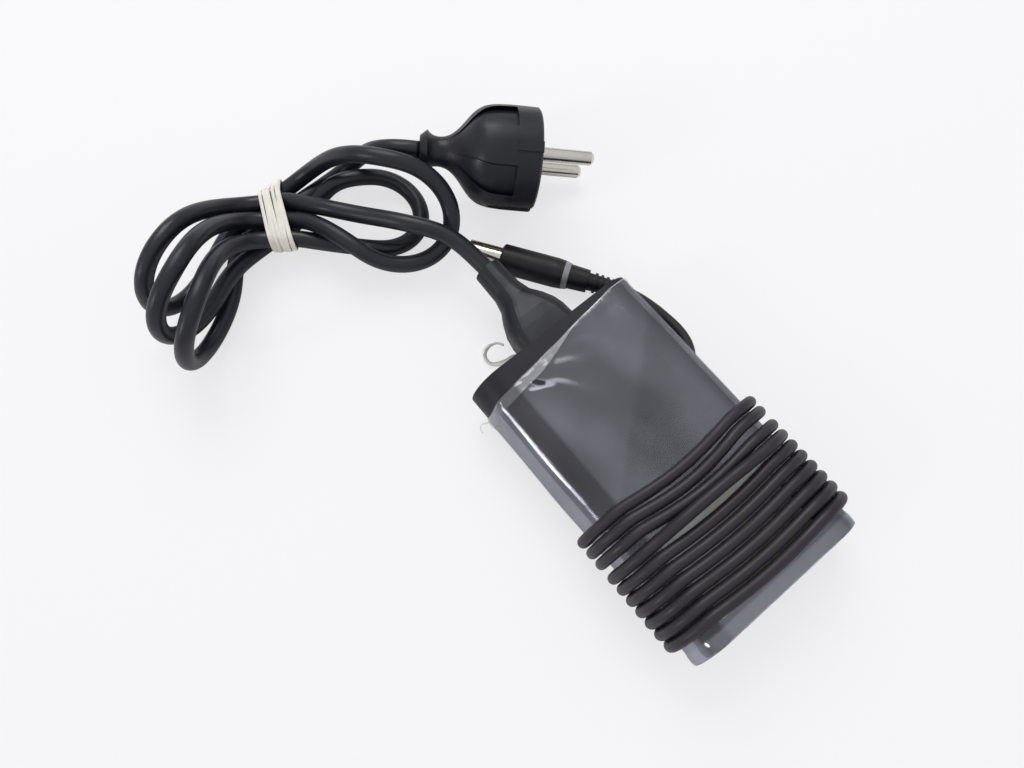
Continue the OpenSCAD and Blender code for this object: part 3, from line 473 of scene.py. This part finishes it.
def material(name, colour, rough, tone=0.12, patch=120, grain=2200, grain_depth=0.00003,
             grain_strength=0.25, rough_span=0.08, metallic=0.0, specular=0.5, coat=0.0):
    """Moulded or drawn surface: patches of tone, roughness that wanders a
    little, and a fine grain in its bump. Sizes in metres."""
    mat = bpy.data.materials.new(name)
    mat.use_nodes = True
    tree = mat.node_tree
    bsdf = tree.nodes["Principled BSDF"]
    coords = tree.nodes.new("ShaderNodeTexCoord")
    patches = noise_node(tree, coords, patch, 5, 0.55)
    ramp = ramp_node(tree, patches.outputs["Fac"], [
        (0.3, [c * (1 - tone) for c in colour]), (0.7, [c * (1 + tone) for c in colour])])
    tree.links.new(ramp.outputs["Color"], bsdf.inputs["Base Color"])
    wander = noise_node(tree, coords, patch * 1.7, 3, 0.5)
    span = span_node(tree, wander.outputs["Fac"], rough - rough_span, rough + rough_span)
    tree.links.new(span.outputs["Result"], bsdf.inputs["Roughness"])
    fine = noise_node(tree, coords, grain, 3, 0.6)
    bump = tree.nodes.new("ShaderNodeBump")
    bump.inputs["Strength"].default_value = grain_strength
    bump.inputs["Distance"].default_value = grain_depth
    tree.links.new(fine.outputs["Fac"], bump.inputs["Height"])
    tree.links.new(bump.outputs["Normal"], bsdf.inputs["Normal"])
    bsdf.inputs["Metallic"].default_value = metallic
    bsdf.inputs["Specular IOR Level"].default_value = specular
    bsdf.inputs["Coat Weight"].default_value = coat
    return mat


housing_mat = material("housing_plastic", (0.016, 0.0145, 0.02), 0.48, tone=0.1,
                       grain=2600, grain_strength=0.08, specular=0.3)
cord_mat = material("output_cord_sheath", (0.025, 0.0215, 0.028), 0.42, tone=0.14,
                    patch=60, grain=1500, grain_strength=0.2, specular=0.4)
lead_mat = material("mains_cord_sheath", (0.013, 0.0145, 0.022), 0.36, tone=0.12,
                    patch=45, grain=1300, grain_strength=0.15, specular=0.45)
mains_mat = material("mains_moulding", (0.011, 0.012, 0.018), 0.38, tone=0.12, patch=80,
                     grain=2200, grain_strength=0.25, specular=0.4)
plug_mat = material("output_plug_moulding", (0.011, 0.011, 0.013), 0.42, tone=0.12,
                    patch=120, grain=2400, grain_strength=0.3, specular=0.35)
ring_mat = material("light_guide", (0.3, 0.31, 0.33), 0.25, tone=0.06, patch=200,
                    grain=900, grain_strength=0.1, coat=0.3)
metal_mat = material("nickel_plate", (0.72, 0.69, 0.63), 0.18, tone=0.05, patch=160,
                     grain=1400, grain_strength=0.08, metallic=1.0, rough_span=0.05)
brass_mat = material("contact_brass", (0.66, 0.52, 0.3), 0.3, tone=0.08, patch=200,
                     grain=1500, grain_strength=0.1, metallic=1.0)
inlet_mat = material("inlet_plastic", (0.015, 0.015, 0.017), 0.45)
board_mat = material("board_laminate", (0.33, 0.24, 0.1), 0.5, tone=0.1, patch=300)
sheet_mat = material("insulating_sheet", (0.7, 0.64, 0.44), 0.6, tone=0.06)
ferrite_mat = material("ferrite", (0.03, 0.03, 0.032), 0.6, tone=0.2, patch=400)
tape_mat = material("coil_tape", (0.8, 0.62, 0.1), 0.3, tone=0.05)
sleeve_mat = material("capacitor_sleeve", (0.03, 0.05, 0.12), 0.3, tone=0.08)
copper_mat = material("enamelled_copper", (0.6, 0.27, 0.12), 0.3, metallic=1.0)
film_cap_mat = material("film_capacitor", (0.75, 0.5, 0.08), 0.35)
sink_mat = material("rolled_plate", (0.62, 0.63, 0.65), 0.35, metallic=1.0)
fuse_mat = material("fuse_sleeve", (0.05, 0.15, 0.08), 0.35)
label_mat = material("label_paper", (0.56, 0.59, 0.42), 0.55, tone=0.08, patch=90)
band_mat = material("cream_rubber", (0.93, 0.91, 0.82), 0.6, tone=0.05, patch=260,
                    grain=1800, grain_strength=0.3)


def plane_node(tree, coords, direction, offset, width):
    """A soft step across the plane where position dot direction is the offset."""
    dot = tree.nodes.new("ShaderNodeVectorMath")
    dot.operation = "DOT_PRODUCT"
    dot.inputs[1].default_value = direction
    tree.links.new(coords.outputs["Object"], dot.inputs[0])
    step = tree.nodes.new("ShaderNodeMapRange")
    step.interpolation_type = "SMOOTHSTEP"
    step.inputs["From Min"].default_value = offset - width / 2
    step.inputs["From Max"].default_value = offset + width / 2
    tree.links.new(dot.outputs["Value"], step.inputs["Value"])
    return step


def math_node(tree, operation, first, second):
    """A sum or product of two sockets."""
    node = tree.nodes.new("ShaderNodeMath")
    node.operation = operation
    tree.links.new(first, node.inputs[0])
    tree.links.new(second, node.inputs[1])
    return node


# Where the film's painted shade, painted dark band and painted sheen change, in metres
fold_normal, fold_at, fold_width = (0.77, 0.64, 0), -0.0108, 0.0035
dark_band_y, dark_band_width = 0.0215, 0.002
side_sheen_y, side_sheen_width = 0.0296, 0.0022
cap_x, cap_width = 0.0488, 0.0012


def film_material(name, colour, alpha_low, alpha_high, rough, metallic, creases,
                  painted_sheen_gain=0.0):
    """Clear film: it mirrors a little. Painted shade past a fold line, a painted dark band
    then painted sheen down the near round side, and painted sheen over the cord's end.
    Creases are a noise scale and a depth."""
    mat = bpy.data.materials.new(name)
    mat.use_nodes = True
    tree = mat.node_tree
    bsdf = tree.nodes["Principled BSDF"]
    coords = tree.nodes.new("ShaderNodeTexCoord")
    patches = noise_node(tree, coords, 30, 2, 0.4, (0.8, 1.5, 1))
    alpha = span_node(tree, patches.outputs["Fac"], alpha_low, alpha_high, 0.4, 0.6)
    # painted shade: past a fold line the film is drawn darker
    fold = plane_node(tree, coords, fold_normal, fold_at, fold_width)
    shade = span_node(tree, fold.outputs["Result"], 1.0, 0.68, 0.0, 1.0)
    both = math_node(tree, "MULTIPLY", alpha.outputs["Result"], shade.outputs["Result"])
    # painted reflection: a dark band where the near edge rounds over, then a painted silvery
    # sheen lower down the near round side
    near_edge_dark_mask = plane_node(tree, coords, (0, -1, 0), dark_band_y, dark_band_width)
    painted_dark_band = span_node(tree, near_edge_dark_mask.outputs["Result"], 1.0, 0.3, 0.0, 1.0)
    side = plane_node(tree, coords, (0, -1, 0), side_sheen_y, side_sheen_width)
    light = span_node(tree, side.outputs["Result"], 0.0, painted_sheen_gain, 0.0, 1.0)
    # the film stands off the cord's end as well, and a painted sheen brightens it there
    cap_sheen_mask = plane_node(tree, coords, (1, 0, 0), cap_x, cap_width)
    loose = span_node(tree, cap_sheen_mask.outputs["Result"], 0.0, painted_sheen_gain * 0.4, 0.0, 1.0)
    gain = math_node(tree, "ADD", light.outputs["Result"], loose.outputs["Result"])
    edged = math_node(tree, "MULTIPLY", both.outputs["Value"], painted_dark_band.outputs["Result"])
    whole = math_node(tree, "ADD", edged.outputs["Value"], gain.outputs["Value"])
    whole.use_clamp = True
    tree.links.new(whole.outputs["Value"], bsdf.inputs["Alpha"])
    tint = noise_node(tree, coords, 60, 3, 0.5)
    ramp = ramp_node(tree, tint.outputs["Fac"], [
        (0.3, [c * 0.94 for c in colour]), (0.7, [min(1, c * 1.05) for c in colour])])
    tree.links.new(ramp.outputs["Color"], bsdf.inputs["Base Color"])
    wander = noise_node(tree, coords, 70, 3, 0.5)
    span = span_node(tree, wander.outputs["Fac"], rough - 0.03, rough + 0.05)
    tree.links.new(span.outputs["Result"], bsdf.inputs["Roughness"])
    small = noise_node(tree, coords, creases[0], 2, 0.5, (0.5, 1, 1))
    bump = tree.nodes.new("ShaderNodeBump")
    bump.inputs["Strength"].default_value = 0.6
    bump.inputs["Distance"].default_value = creases[1]
    tree.links.new(small.outputs["Fac"], bump.inputs["Height"])
    tree.links.new(bump.outputs["Normal"], bsdf.inputs["Normal"])
    bsdf.inputs["Metallic"].default_value = metallic
    bsdf.inputs["Specular IOR Level"].default_value = 0.9
    return mat


# the film gets its painted sheen at a gain of 0.5
film_mat = film_material("clear_film", (0.45, 0.465, 0.53), 0.15, 0.31, 0.13, 0.9,
                         (55, 0.00012), painted_sheen_gain=0.5)
hem_mat = film_material("film_hem", (0.78, 0.79, 0.8), 0.22, 0.5, 0.2, 0.25, (260, 0.0005))
curl_mat = film_material("film_curl", (0.86, 0.86, 0.83), 0.7, 0.9, 0.25, 0.1, (200, 0.0003))

node_materials = {
    "top_shell": housing_mat, "bottom_shell": housing_mat, "rating_label": label_mat,
    "ac_inlet": inlet_mat, "inlet_pins": metal_mat, "circuit_board": board_mat,
    "insulation_sheet": sheet_mat, "transformer_core": ferrite_mat,
    "transformer_coil": tape_mat, "bulk_capacitor": sleeve_mat,
    "output_capacitors": sleeve_mat, "filter_choke": copper_mat,
    "filter_capacitor": film_cap_mat, "primary_heat_sink": sink_mat,
    "secondary_heat_sink": sink_mat, "switch_transistor": ferrite_mat,
    "output_rectifier": ferrite_mat, "fuse": fuse_mat, "dc_gland": plug_mat,
    "dc_plug_body": plug_mat, "dc_plug_light_ring": ring_mat, "dc_plug_collar": plug_mat,
    "dc_plug_strain_relief": plug_mat, "dc_plug_barrel": metal_mat,
    "dc_plug_insulator": inlet_mat, "dc_plug_centre_pin": metal_mat,
    "connector_body": mains_mat, "connector_contacts": brass_mat,
    "mains_plug_body": mains_mat, "mains_plug_pins": metal_mat,
    "earth_clips": brass_mat, "earth_socket": brass_mat,
}
for name, mat in node_materials.items():
    obj = frame["nodes"][name]
    obj.data.materials.clear()
    obj.data.materials.append(mat)

# ------------------------------------------------------------------ cords
output_cord = tube("output_cord", dc_path, cord_r, 16)
output_cord.data.materials.append(cord_mat)
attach(output_cord, "adapter")
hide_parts("dc_cord_winding", "dc_cord_tail")

mains_cord = tube("mains_cord", lead_path, lead_r, 20)
mains_cord.data.materials.append(lead_mat)
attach(mains_cord, "mains_lead")
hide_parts("mains_cord_connector_end", "mains_cord_hank", "mains_cord_plug_end")

# ------------------------------------------------------------------ clear film
film_off = 0.16
film_near_x, film_far_x = -end_x + 9, -end_x + 1
trough_w, trough_y0, trough_y1 = 2 * cord_r + 2.8, -2.0, 18.5
cut_margin = 0.5  # how far the film stays clear of the trough
notch_at, notch_half, notch_slope = (-41.3, -15.3), (1.9, 0.75), 0.6
free_x, cap_start_x = -4, 48.3  # the turns hold the film down between these


def film_edge(y, z):
    """Where the film ends at the inlet, a little uneven."""
    f = (y + flat_y + side_r) / (2 * (flat_y + side_r))
    wander = noise.noise(Vector((y * 0.11, z * 0.2, 3.7)))
    return film_near_x + (film_far_x - film_near_x) * f + 0.5 * wander


def stadium_stations():
    """Places round the housing: the unit normal and the point for no offset."""
    out = []
    straight_n, round_n = 60, 44
    for k in range(straight_n):
        out.append((Vector((0, 0, 1)), -flat_y + 2 * flat_y * k / straight_n, side_r))
    for k in range(round_n):
        a = pi * k / round_n
        n = Vector((0, sin(a), cos(a)))
        out.append((n, flat_y + side_r * n.y, side_r * n.z))
    for k in range(straight_n):
        out.append((Vector((0, 0, -1)), flat_y - 2 * flat_y * k / straight_n, -side_r))
    for k in range(round_n):
        a = pi + pi * k / round_n
        n = Vector((0, sin(a), cos(a)))
        out.append((n, -flat_y + side_r * n.y, side_r * n.z))
    return out


def ridge(x, y, start, end, height, width):
    """A wrinkle that fades at both ends."""
    ax, ay = end[0] - start[0], end[1] - start[1]
    length = sqrt(ax * ax + ay * ay)
    u = ((x - start[0]) * ax + (y - start[1]) * ay) / length ** 2
    if u < 0 or u > 1:
        return 0
    across = abs((x - start[0]) * ay - (y - start[1]) * ax) / length
    return height * (1 - u) * smoothstep(u * 6) * max(0, 1 - (across / width) ** 2) ** 2


# Wrinkles on the top: start, end, height and half width
wrinkles = [
    ((-41, -14.5), (-14, 4), 0.3, 4.0), ((-40.5, -15.5), (-20, -10), 0.32, 3.2),
    ((-41.5, -17.5), (-28, -20.5), 0.26, 3.0), ((-44, -12), (-30, 14), 0.24, 3.8),
    ((-47, 0), (-22, 18), 0.14, 5.0), ((-43.5, -20), (-33, -22), 0.2, 2.6),
    ((3, -20), (-11, -5), 0.34, 3.0),
]


def film_height(x, y, z, n):
    """How far the film stands off its place. The turns press it down."""
    free = 1 - smoothstep((x - free_x) / 5) + smoothstep((x - cap_start_x) / 2.5)
    if free <= 0:
        return 0
    h = 0.2 * (0.5 + noise.noise(Vector((x * 0.045, y * 0.06, z * 0.1))))
    if n.z > 0.9:
        h += sum(ridge(x, y, *w) for w in wrinkles)
    if x > cap_start_x:
        h += 0.28 * (0.5 + noise.noise(Vector((x * 0.2, y * 0.35, z * 0.35))))
    near = smoothstep(1 - (x - film_edge(y, z)) / 5)
    h += 0.22 * near * (0.6 + noise.noise(Vector((x * 0.3, y * 0.45, z * 0.45))))
    return max(0, h) * free


def film_piece(name, places, columns, point, keep, thick, mat):
    """Thin closed shell over a grid of stations and columns."""
    verts, faces = [], []
    n = len(places)
    for place in places:
        for c in range(columns + 1):
            verts.append(point(place, c / columns) * MM)
    for i in range(n):
        j = (i + 1) % n
        for c in range(columns):
            a, b = i * (columns + 1) + c, j * (columns + 1) + c
            mid = (verts[a] + verts[b + 1]) / 2 / MM
            if keep(mid):
                faces.append((a, a + 1, b + 1, b))
    obj = from_lists(name, verts, faces)
    bm = bmesh.new()
    bm.from_mesh(obj.data)
    loose = [v for v in bm.verts if not v.link_faces]
    bmesh.ops.delete(bm, geom=loose, context="VERTS")
    bmesh.ops.recalc_face_normals(bm, faces=bm.faces)
    bm.to_mesh(obj.data)
    bm.free()
    shell = obj.modifiers.new("thickness", "SOLIDIFY")
    shell.thickness = thick * MM
    shell.offset = 1
    obj.data.materials.append(mat)
    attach(obj, "adapter")
    return obj


def film_point(place, f):
    """The film's surface, from its uneven edge to the cord's end."""
    n, y, z = place
    x = film_edge(y, z) + (end_x - film_edge(y, z)) * f
    h = film_off + film_height(x, y, z, n)
    if f > 0.999:
        h -= 0.1
    return Vector((x, y + n.y * h, z + n.z * h))


def film_kept(p):
    """Faces that stay: not those over the cord's trough or in the torn notch."""
    in_trough = (abs(p.x - trough_x) < trough_w / 2 + cut_margin and p.z < -side_r + 1
                 and trough_y0 - cut_margin < p.y < trough_y1 + cut_margin)
    dx = p.x - notch_at[0]
    dy = p.y - notch_at[1] - notch_slope * dx
    tear = (dx / notch_half[0]) ** 2 + (dy / notch_half[1]) ** 2
    return not in_trough and not (p.z > 0 and tear < 1)


film_sheet = film_piece("film_sheet", stadium_stations(), 150, film_point, film_kept,
                        0.1, film_mat)
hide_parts("film_wrap")


def hem_width(y, n):
    """The hem is widest at the near side and narrow underneath."""
    if n.z > -0.5:
        return 0.5 + 3.2 * smoothstep((8 - y) / 22)
    return 1.2


def hem_point(place, f):
    """Crumpled edge of the film, a little above it."""
    n, y, z = place
    x = film_edge(y, z) - 0.15 + hem_width(y, n) * f
    crumple = noise.noise(Vector((x * 0.8, y * 0.55, z * 0.5)))
    near = smoothstep((-y - 8) / 14) if n.z > -0.4 else 0
    h = (film_off + 0.16 + film_height(x, y, z, n) + 0.12 * (1 + crumple)
         + 0.45 * near * (0.5 + crumple) * sin(pi * f) ** 2)
    return Vector((x, y + n.y * h, z + n.z * h))


film_piece("film_hem", stadium_stations(), 8, hem_point,
           lambda p: True, 0.08, hem_mat)


def film_strip(name, points, height, thick, lean, mat):
    """A narrow strip of torn film along a path; it leans on its edge."""
    path = smoothed(evened(rounded_through([Vector(p) for p in points], 10), 0.5), 3)
    n = len(path)
    verts, faces = [], []
    for i, q in enumerate(path):
        ahead = (path[min(i + 1, n - 1)] - path[max(i - 1, 0)]).normalized()
        side = Vector((0, 0, 1)).cross(ahead).normalized()
        u = i / (n - 1)
        tall = height * (0.35 + 0.65 * sin(pi * min(1, 0.12 + u)) ** 0.5)
        tilt = lean * (1 + 0.4 * noise.noise(Vector((u * 5, 1.3, 2.2))))
        up = (Vector((0, 0, 1)) * cos(tilt) + side * sin(tilt)).normalized()
        out = ahead.cross(up).normalized() * thick / 2
        for v in (q - out, q - out + tall * up, q + out + tall * up, q + out):
            verts.append(Vector((v.x, v.y, max(v.z, floor_z))) * MM)
    for i in range(n - 1):
        for k in range(4):
            a, b = i * 4 + k, i * 4 + (k + 1) % 4
            faces.append((a, b, b + 4, a + 4))
    faces += [(3, 2, 1, 0), tuple(range(n * 4 - 4, n * 4))]
    obj = from_lists(name, verts, faces)
    obj.data.materials.append(mat)
    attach(obj, "adapter")
    return obj


film_strip("film_curl", [
    (-47.5, -5, -11.45), (-52, -5.6, -12.4), (-56.5, -6.3, -13.6), (-60.4, -9, floor_z),
    (-61.3, -13.5, floor_z), (-63.6, -17.4, floor_z), (-66.3, -17, floor_z),
    (-67.8, -14, floor_z), (-67.2, -11.3, floor_z), (-65.2, -10.2, floor_z)],
    2.4, 0.14, 1.2, curl_mat)
film_strip("film_flap", [
    (-44.2, -30.5, -7.8), (-45.2, -31.8, -8.9), (-46.6, -33, -10.8), (-47.4, -34.6, -12.2),
    (-46.4, -35.8, -12.8), (-44.6, -36, -12.9)], 1.9, 0.12, 0.5, curl_mat)

# ------------------------------------------------------------------ rubber band
band_heading = 67
band_at = Vector((-153.2, -43.3, 0))
band_along = heading(band_heading)
band_across = Vector((sin(radians(band_heading)), -cos(radians(band_heading)), 0))
band_lift = 0.1


def beside(p, a, t, s):
    """Place across the band of a strand's side, s = -1 or 1, at t along it."""
    d = Vector((p.x, p.y, 0)) - band_at
    turn = radians(band_heading - a)
    return (d.dot(band_across) + (t - d.dot(band_along)) * tan(turn)
            + s * (lead_r / cos(turn) + band_slack))


def round_strands(t, off):
    """Closed outline, off millimetres from the four outer strands at t along
    the band, as points (across, up)."""
    reach, arc_steps = lead_r + band_slack, 12
    corners = [
        (beside(lower_a, lower_a_heading, t, -1) + reach, lower_z),
        (beside(lower_b, lower_b_heading, t, 1) - reach, lower_z),
        (beside(upper_c, upper_c_heading, t, 1) - reach, upper_z),
        (beside(upper_a, upper_a_heading, t, -1) + reach, upper_z)]
    r = reach + off
    outline = []
    for i, (x, z) in enumerate(corners):
        x0, z0 = corners[i - 1]
        x1, z1 = corners[(i + 1) % 4]
        start = atan2(-(x - x0), z - z0)
        turn = (atan2(-(x1 - x), z1 - z) - start) % (2 * pi)
        for k in range(arc_steps + 1):
            a = start + turn * k / arc_steps
            outline.append(Vector((x + r * cos(a), z + r * sin(a))))
    return outline


def evened_ring(points, n):
    """n points evenly spaced round a closed outline, from its first point."""
    lengths = [(points[(i + 1) % len(points)] - p).length for i, p in enumerate(points)]
    total, out, i, past = sum(lengths), [], 0, 0.0
    for k in range(n):
        at = total * k / n
        while past + lengths[i] < at:
            past += lengths[i]
            i += 1
        f = (at - past) / max(lengths[i], 1e-9)
        out.append(points[i].lerp(points[(i + 1) % len(points)], f))
    return out


def band_wrap(name, t, tilt, phase, lift, width=1.3, thick=0.75):
    """One wrap of the band: a flat rubber strip round the strands."""
    steps, around = 120, 10
    centres = []
    for i in range(steps):
        u = 2 * pi * i / steps
        along = t + tilt * sin(u + phase)
        off = band_slack + thick / 2 + lift * (1 + 0.6 * sin(2 * u + phase))
        x, z = evened_ring(round_strands(along, off), steps)[i]
        centres.append(band_at + along * band_along + x * band_across
                       + Vector((0, 0, floor_z + z + band_lift)))
    verts, faces = [], []
    middle = sum(centres, Vector()) / steps
    for i in range(steps):
        ahead = (centres[(i + 1) % steps] - centres[i - 1]).normalized()
        out = ahead.cross(band_along).normalized()
        if out.dot(centres[i] - middle) < 0:
            out = -out
        wide = ahead.cross(out)
        for k in range(around):
            a = 2 * pi * k / around
            q = (centres[i] + width / 2 * cos(a) * wide
                 + thick / 2 * (1 if sin(a) > 0 else -1) * abs(sin(a)) ** 0.7 * out)
            verts.append(Vector((q.x, q.y, max(q.z, floor_z))) * MM)
    for i in range(steps):
        for k in range(around):
            a = i * around + k
            b = i * around + (k + 1) % around
            c = ((i + 1) % steps) * around + (k + 1) % around
            d = ((i + 1) % steps) * around + k
            faces.append((a, b, c, d))
    obj = from_lists(name, verts, faces)
    obj.data.materials.append(band_mat)
    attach(obj, "mains_lead")
    return obj


# Each wrap: place along the band, tilt, phase and lift
band_places = [(-3.3, 0.3, 0.3, 0.05), (-2.6, 0.6, 2.6, 0.2), (-1.8, 0.4, 4.4, 0.08),
               (-1.0, 0.7, 1.0, 0.3), (-0.2, 0.4, 5.4, 0.1), (0.6, 0.6, 3.0, 0.25),
               (1.4, 0.4, 0.2, 0.08), (2.1, 0.6, 2.0, 0.28), (2.8, 0.5, 3.6, 0.12),
               (3.4, 0.3, 4.9, 0.05)]
band_wraps = [band_wrap("band_wrap_%d" % (i + 1), *place)
              for i, place in enumerate(band_places)]
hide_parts("rubber_band")

# ------------------------------------------------------------------ stage
# A pale floor that keeps soft shadows: seen straight from the camera, part of
# its light is its own
floor_half = 6.0
floor_top = floor_z * MM - 0.00002  # a hair below what lies on it
floor_glow_share = 0.68
floor_mesh = bpy.data.meshes.new("floor")
floor_mesh.from_pydata(
    [(x * floor_half, y * floor_half, floor_top)
     for x, y in ((-1, -1), (1, -1), (1, 1), (-1, 1))], [], [(0, 1, 2, 3)])
floor = link("floor", floor_mesh, smooth=False)
floor_mat = bpy.data.materials.new("floor_paper")
floor_mat.use_nodes = True
floor_tree = floor_mat.node_tree
floor_bsdf = floor_tree.nodes["Principled BSDF"]
floor_bsdf.inputs["Base Color"].default_value = (0.9, 0.895, 0.91, 1)
floor_bsdf.inputs["Roughness"].default_value = 0.85
floor_bsdf.inputs["Specular IOR Level"].default_value = 0.1
floor_glow = floor_tree.nodes.new("ShaderNodeEmission")
floor_glow.inputs["Color"].default_value = (0.985, 0.985, 1.0, 1)
floor_glow.inputs["Strength"].default_value = 1.0
rays = floor_tree.nodes.new("ShaderNodeLightPath")
seen = floor_tree.nodes.new("ShaderNodeMath")
seen.operation = "MULTIPLY"
seen.inputs[1].default_value = floor_glow_share
floor_tree.links.new(rays.outputs["Is Camera Ray"], seen.inputs[0])
floor_mix = floor_tree.nodes.new("ShaderNodeMixShader")
floor_tree.links.new(seen.outputs["Value"], floor_mix.inputs["Fac"])
floor_tree.links.new(floor_bsdf.outputs["BSDF"], floor_mix.inputs[1])
floor_tree.links.new(floor_glow.outputs["Emission"], floor_mix.inputs[2])
floor_tree.links.new(floor_mix.outputs["Shader"],
                     floor_tree.nodes["Material Output"].inputs["Surface"])
floor.data.materials.append(floor_mat)

world = bpy.data.worlds.new("world")
bpy.context.scene.world = world
world.use_nodes = True
tree = world.node_tree
background = tree.nodes["Background"]
coords = tree.nodes.new("ShaderNodeTexCoord")
split = tree.nodes.new("ShaderNodeSeparateXYZ")
tree.links.new(coords.outputs["Generated"], split.inputs["Vector"])
sky = ramp_node(tree, split.outputs["Z"], [
    (0.0, (0.5, 0.5, 0.51)), (0.25, (0.62, 0.62, 0.63)), (0.7, (0.85, 0.85, 0.86)),
    (1.0, (0.95, 0.95, 0.95))])
tree.links.new(sky.outputs["Color"], background.inputs["Color"])
background.inputs["Strength"].default_value = 0.75
# a window low on the near side, which the film's edge mirrors as a streak
window_towards = Vector((-0.141, -0.888, 0.436)).normalized()
window_edge, window_full = 0.992, 0.997  # cosines of the angle from its middle
window = tree.nodes.new("ShaderNodeVectorMath")
window.operation = "DOT_PRODUCT"
window.inputs[1].default_value = window_towards
tree.links.new(coords.outputs["Generated"], window.inputs[0])
pane = tree.nodes.new("ShaderNodeMapRange")
pane.interpolation_type = "SMOOTHSTEP"
pane.inputs["From Min"].default_value = window_edge
pane.inputs["From Max"].default_value = window_full
tree.links.new(window.outputs["Value"], pane.inputs["Value"])
bright = tree.nodes.new("ShaderNodeBackground")
bright.inputs["Color"].default_value = (1.0, 0.97, 0.99, 1)
bright.inputs["Strength"].default_value = 14.0
world_mix = tree.nodes.new("ShaderNodeMixShader")
tree.links.new(pane.outputs["Result"], world_mix.inputs["Fac"])
tree.links.new(background.outputs["Background"], world_mix.inputs[1])
tree.links.new(bright.outputs["Background"], world_mix.inputs[2])
# the camera itself sees a pale backdrop above the floor
backdrop = tree.nodes.new("ShaderNodeBackground")
backdrop.inputs["Color"].default_value = (0.955, 0.955, 0.97, 1)
backdrop.inputs["Strength"].default_value = 1.0
world_rays = tree.nodes.new("ShaderNodeLightPath")
seen_mix = tree.nodes.new("ShaderNodeMixShader")
tree.links.new(world_rays.outputs["Is Camera Ray"], seen_mix.inputs["Fac"])
tree.links.new(world_mix.outputs["Shader"], seen_mix.inputs[1])
tree.links.new(backdrop.outputs["Background"], seen_mix.inputs[2])
tree.links.new(seen_mix.outputs["Shader"], tree.nodes["World Output"].inputs["Surface"])


def area_light(name, at, towards, size, power):
    """A rectangular lamp; places and size in metres, power in watts."""
    data = bpy.data.lights.new(name, "AREA")
    data.shape = "RECTANGLE"
    data.size, data.size_y = size
    data.energy = power
    obj = bpy.data.objects.new(name, data)
    bpy.context.scene.collection.objects.link(obj)
    obj.location = at
    obj.rotation_mode = "QUATERNION"
    obj.rotation_quaternion = (Vector(towards) - Vector(at)).to_track_quat("-Z", "Y")


area_light("window_light", (-0.75, 0.35, 0.9), (0, 0, 0), (0.7, 0.7), 5.0)

bpy.context.scene.view_settings.view_transform = "Standard"
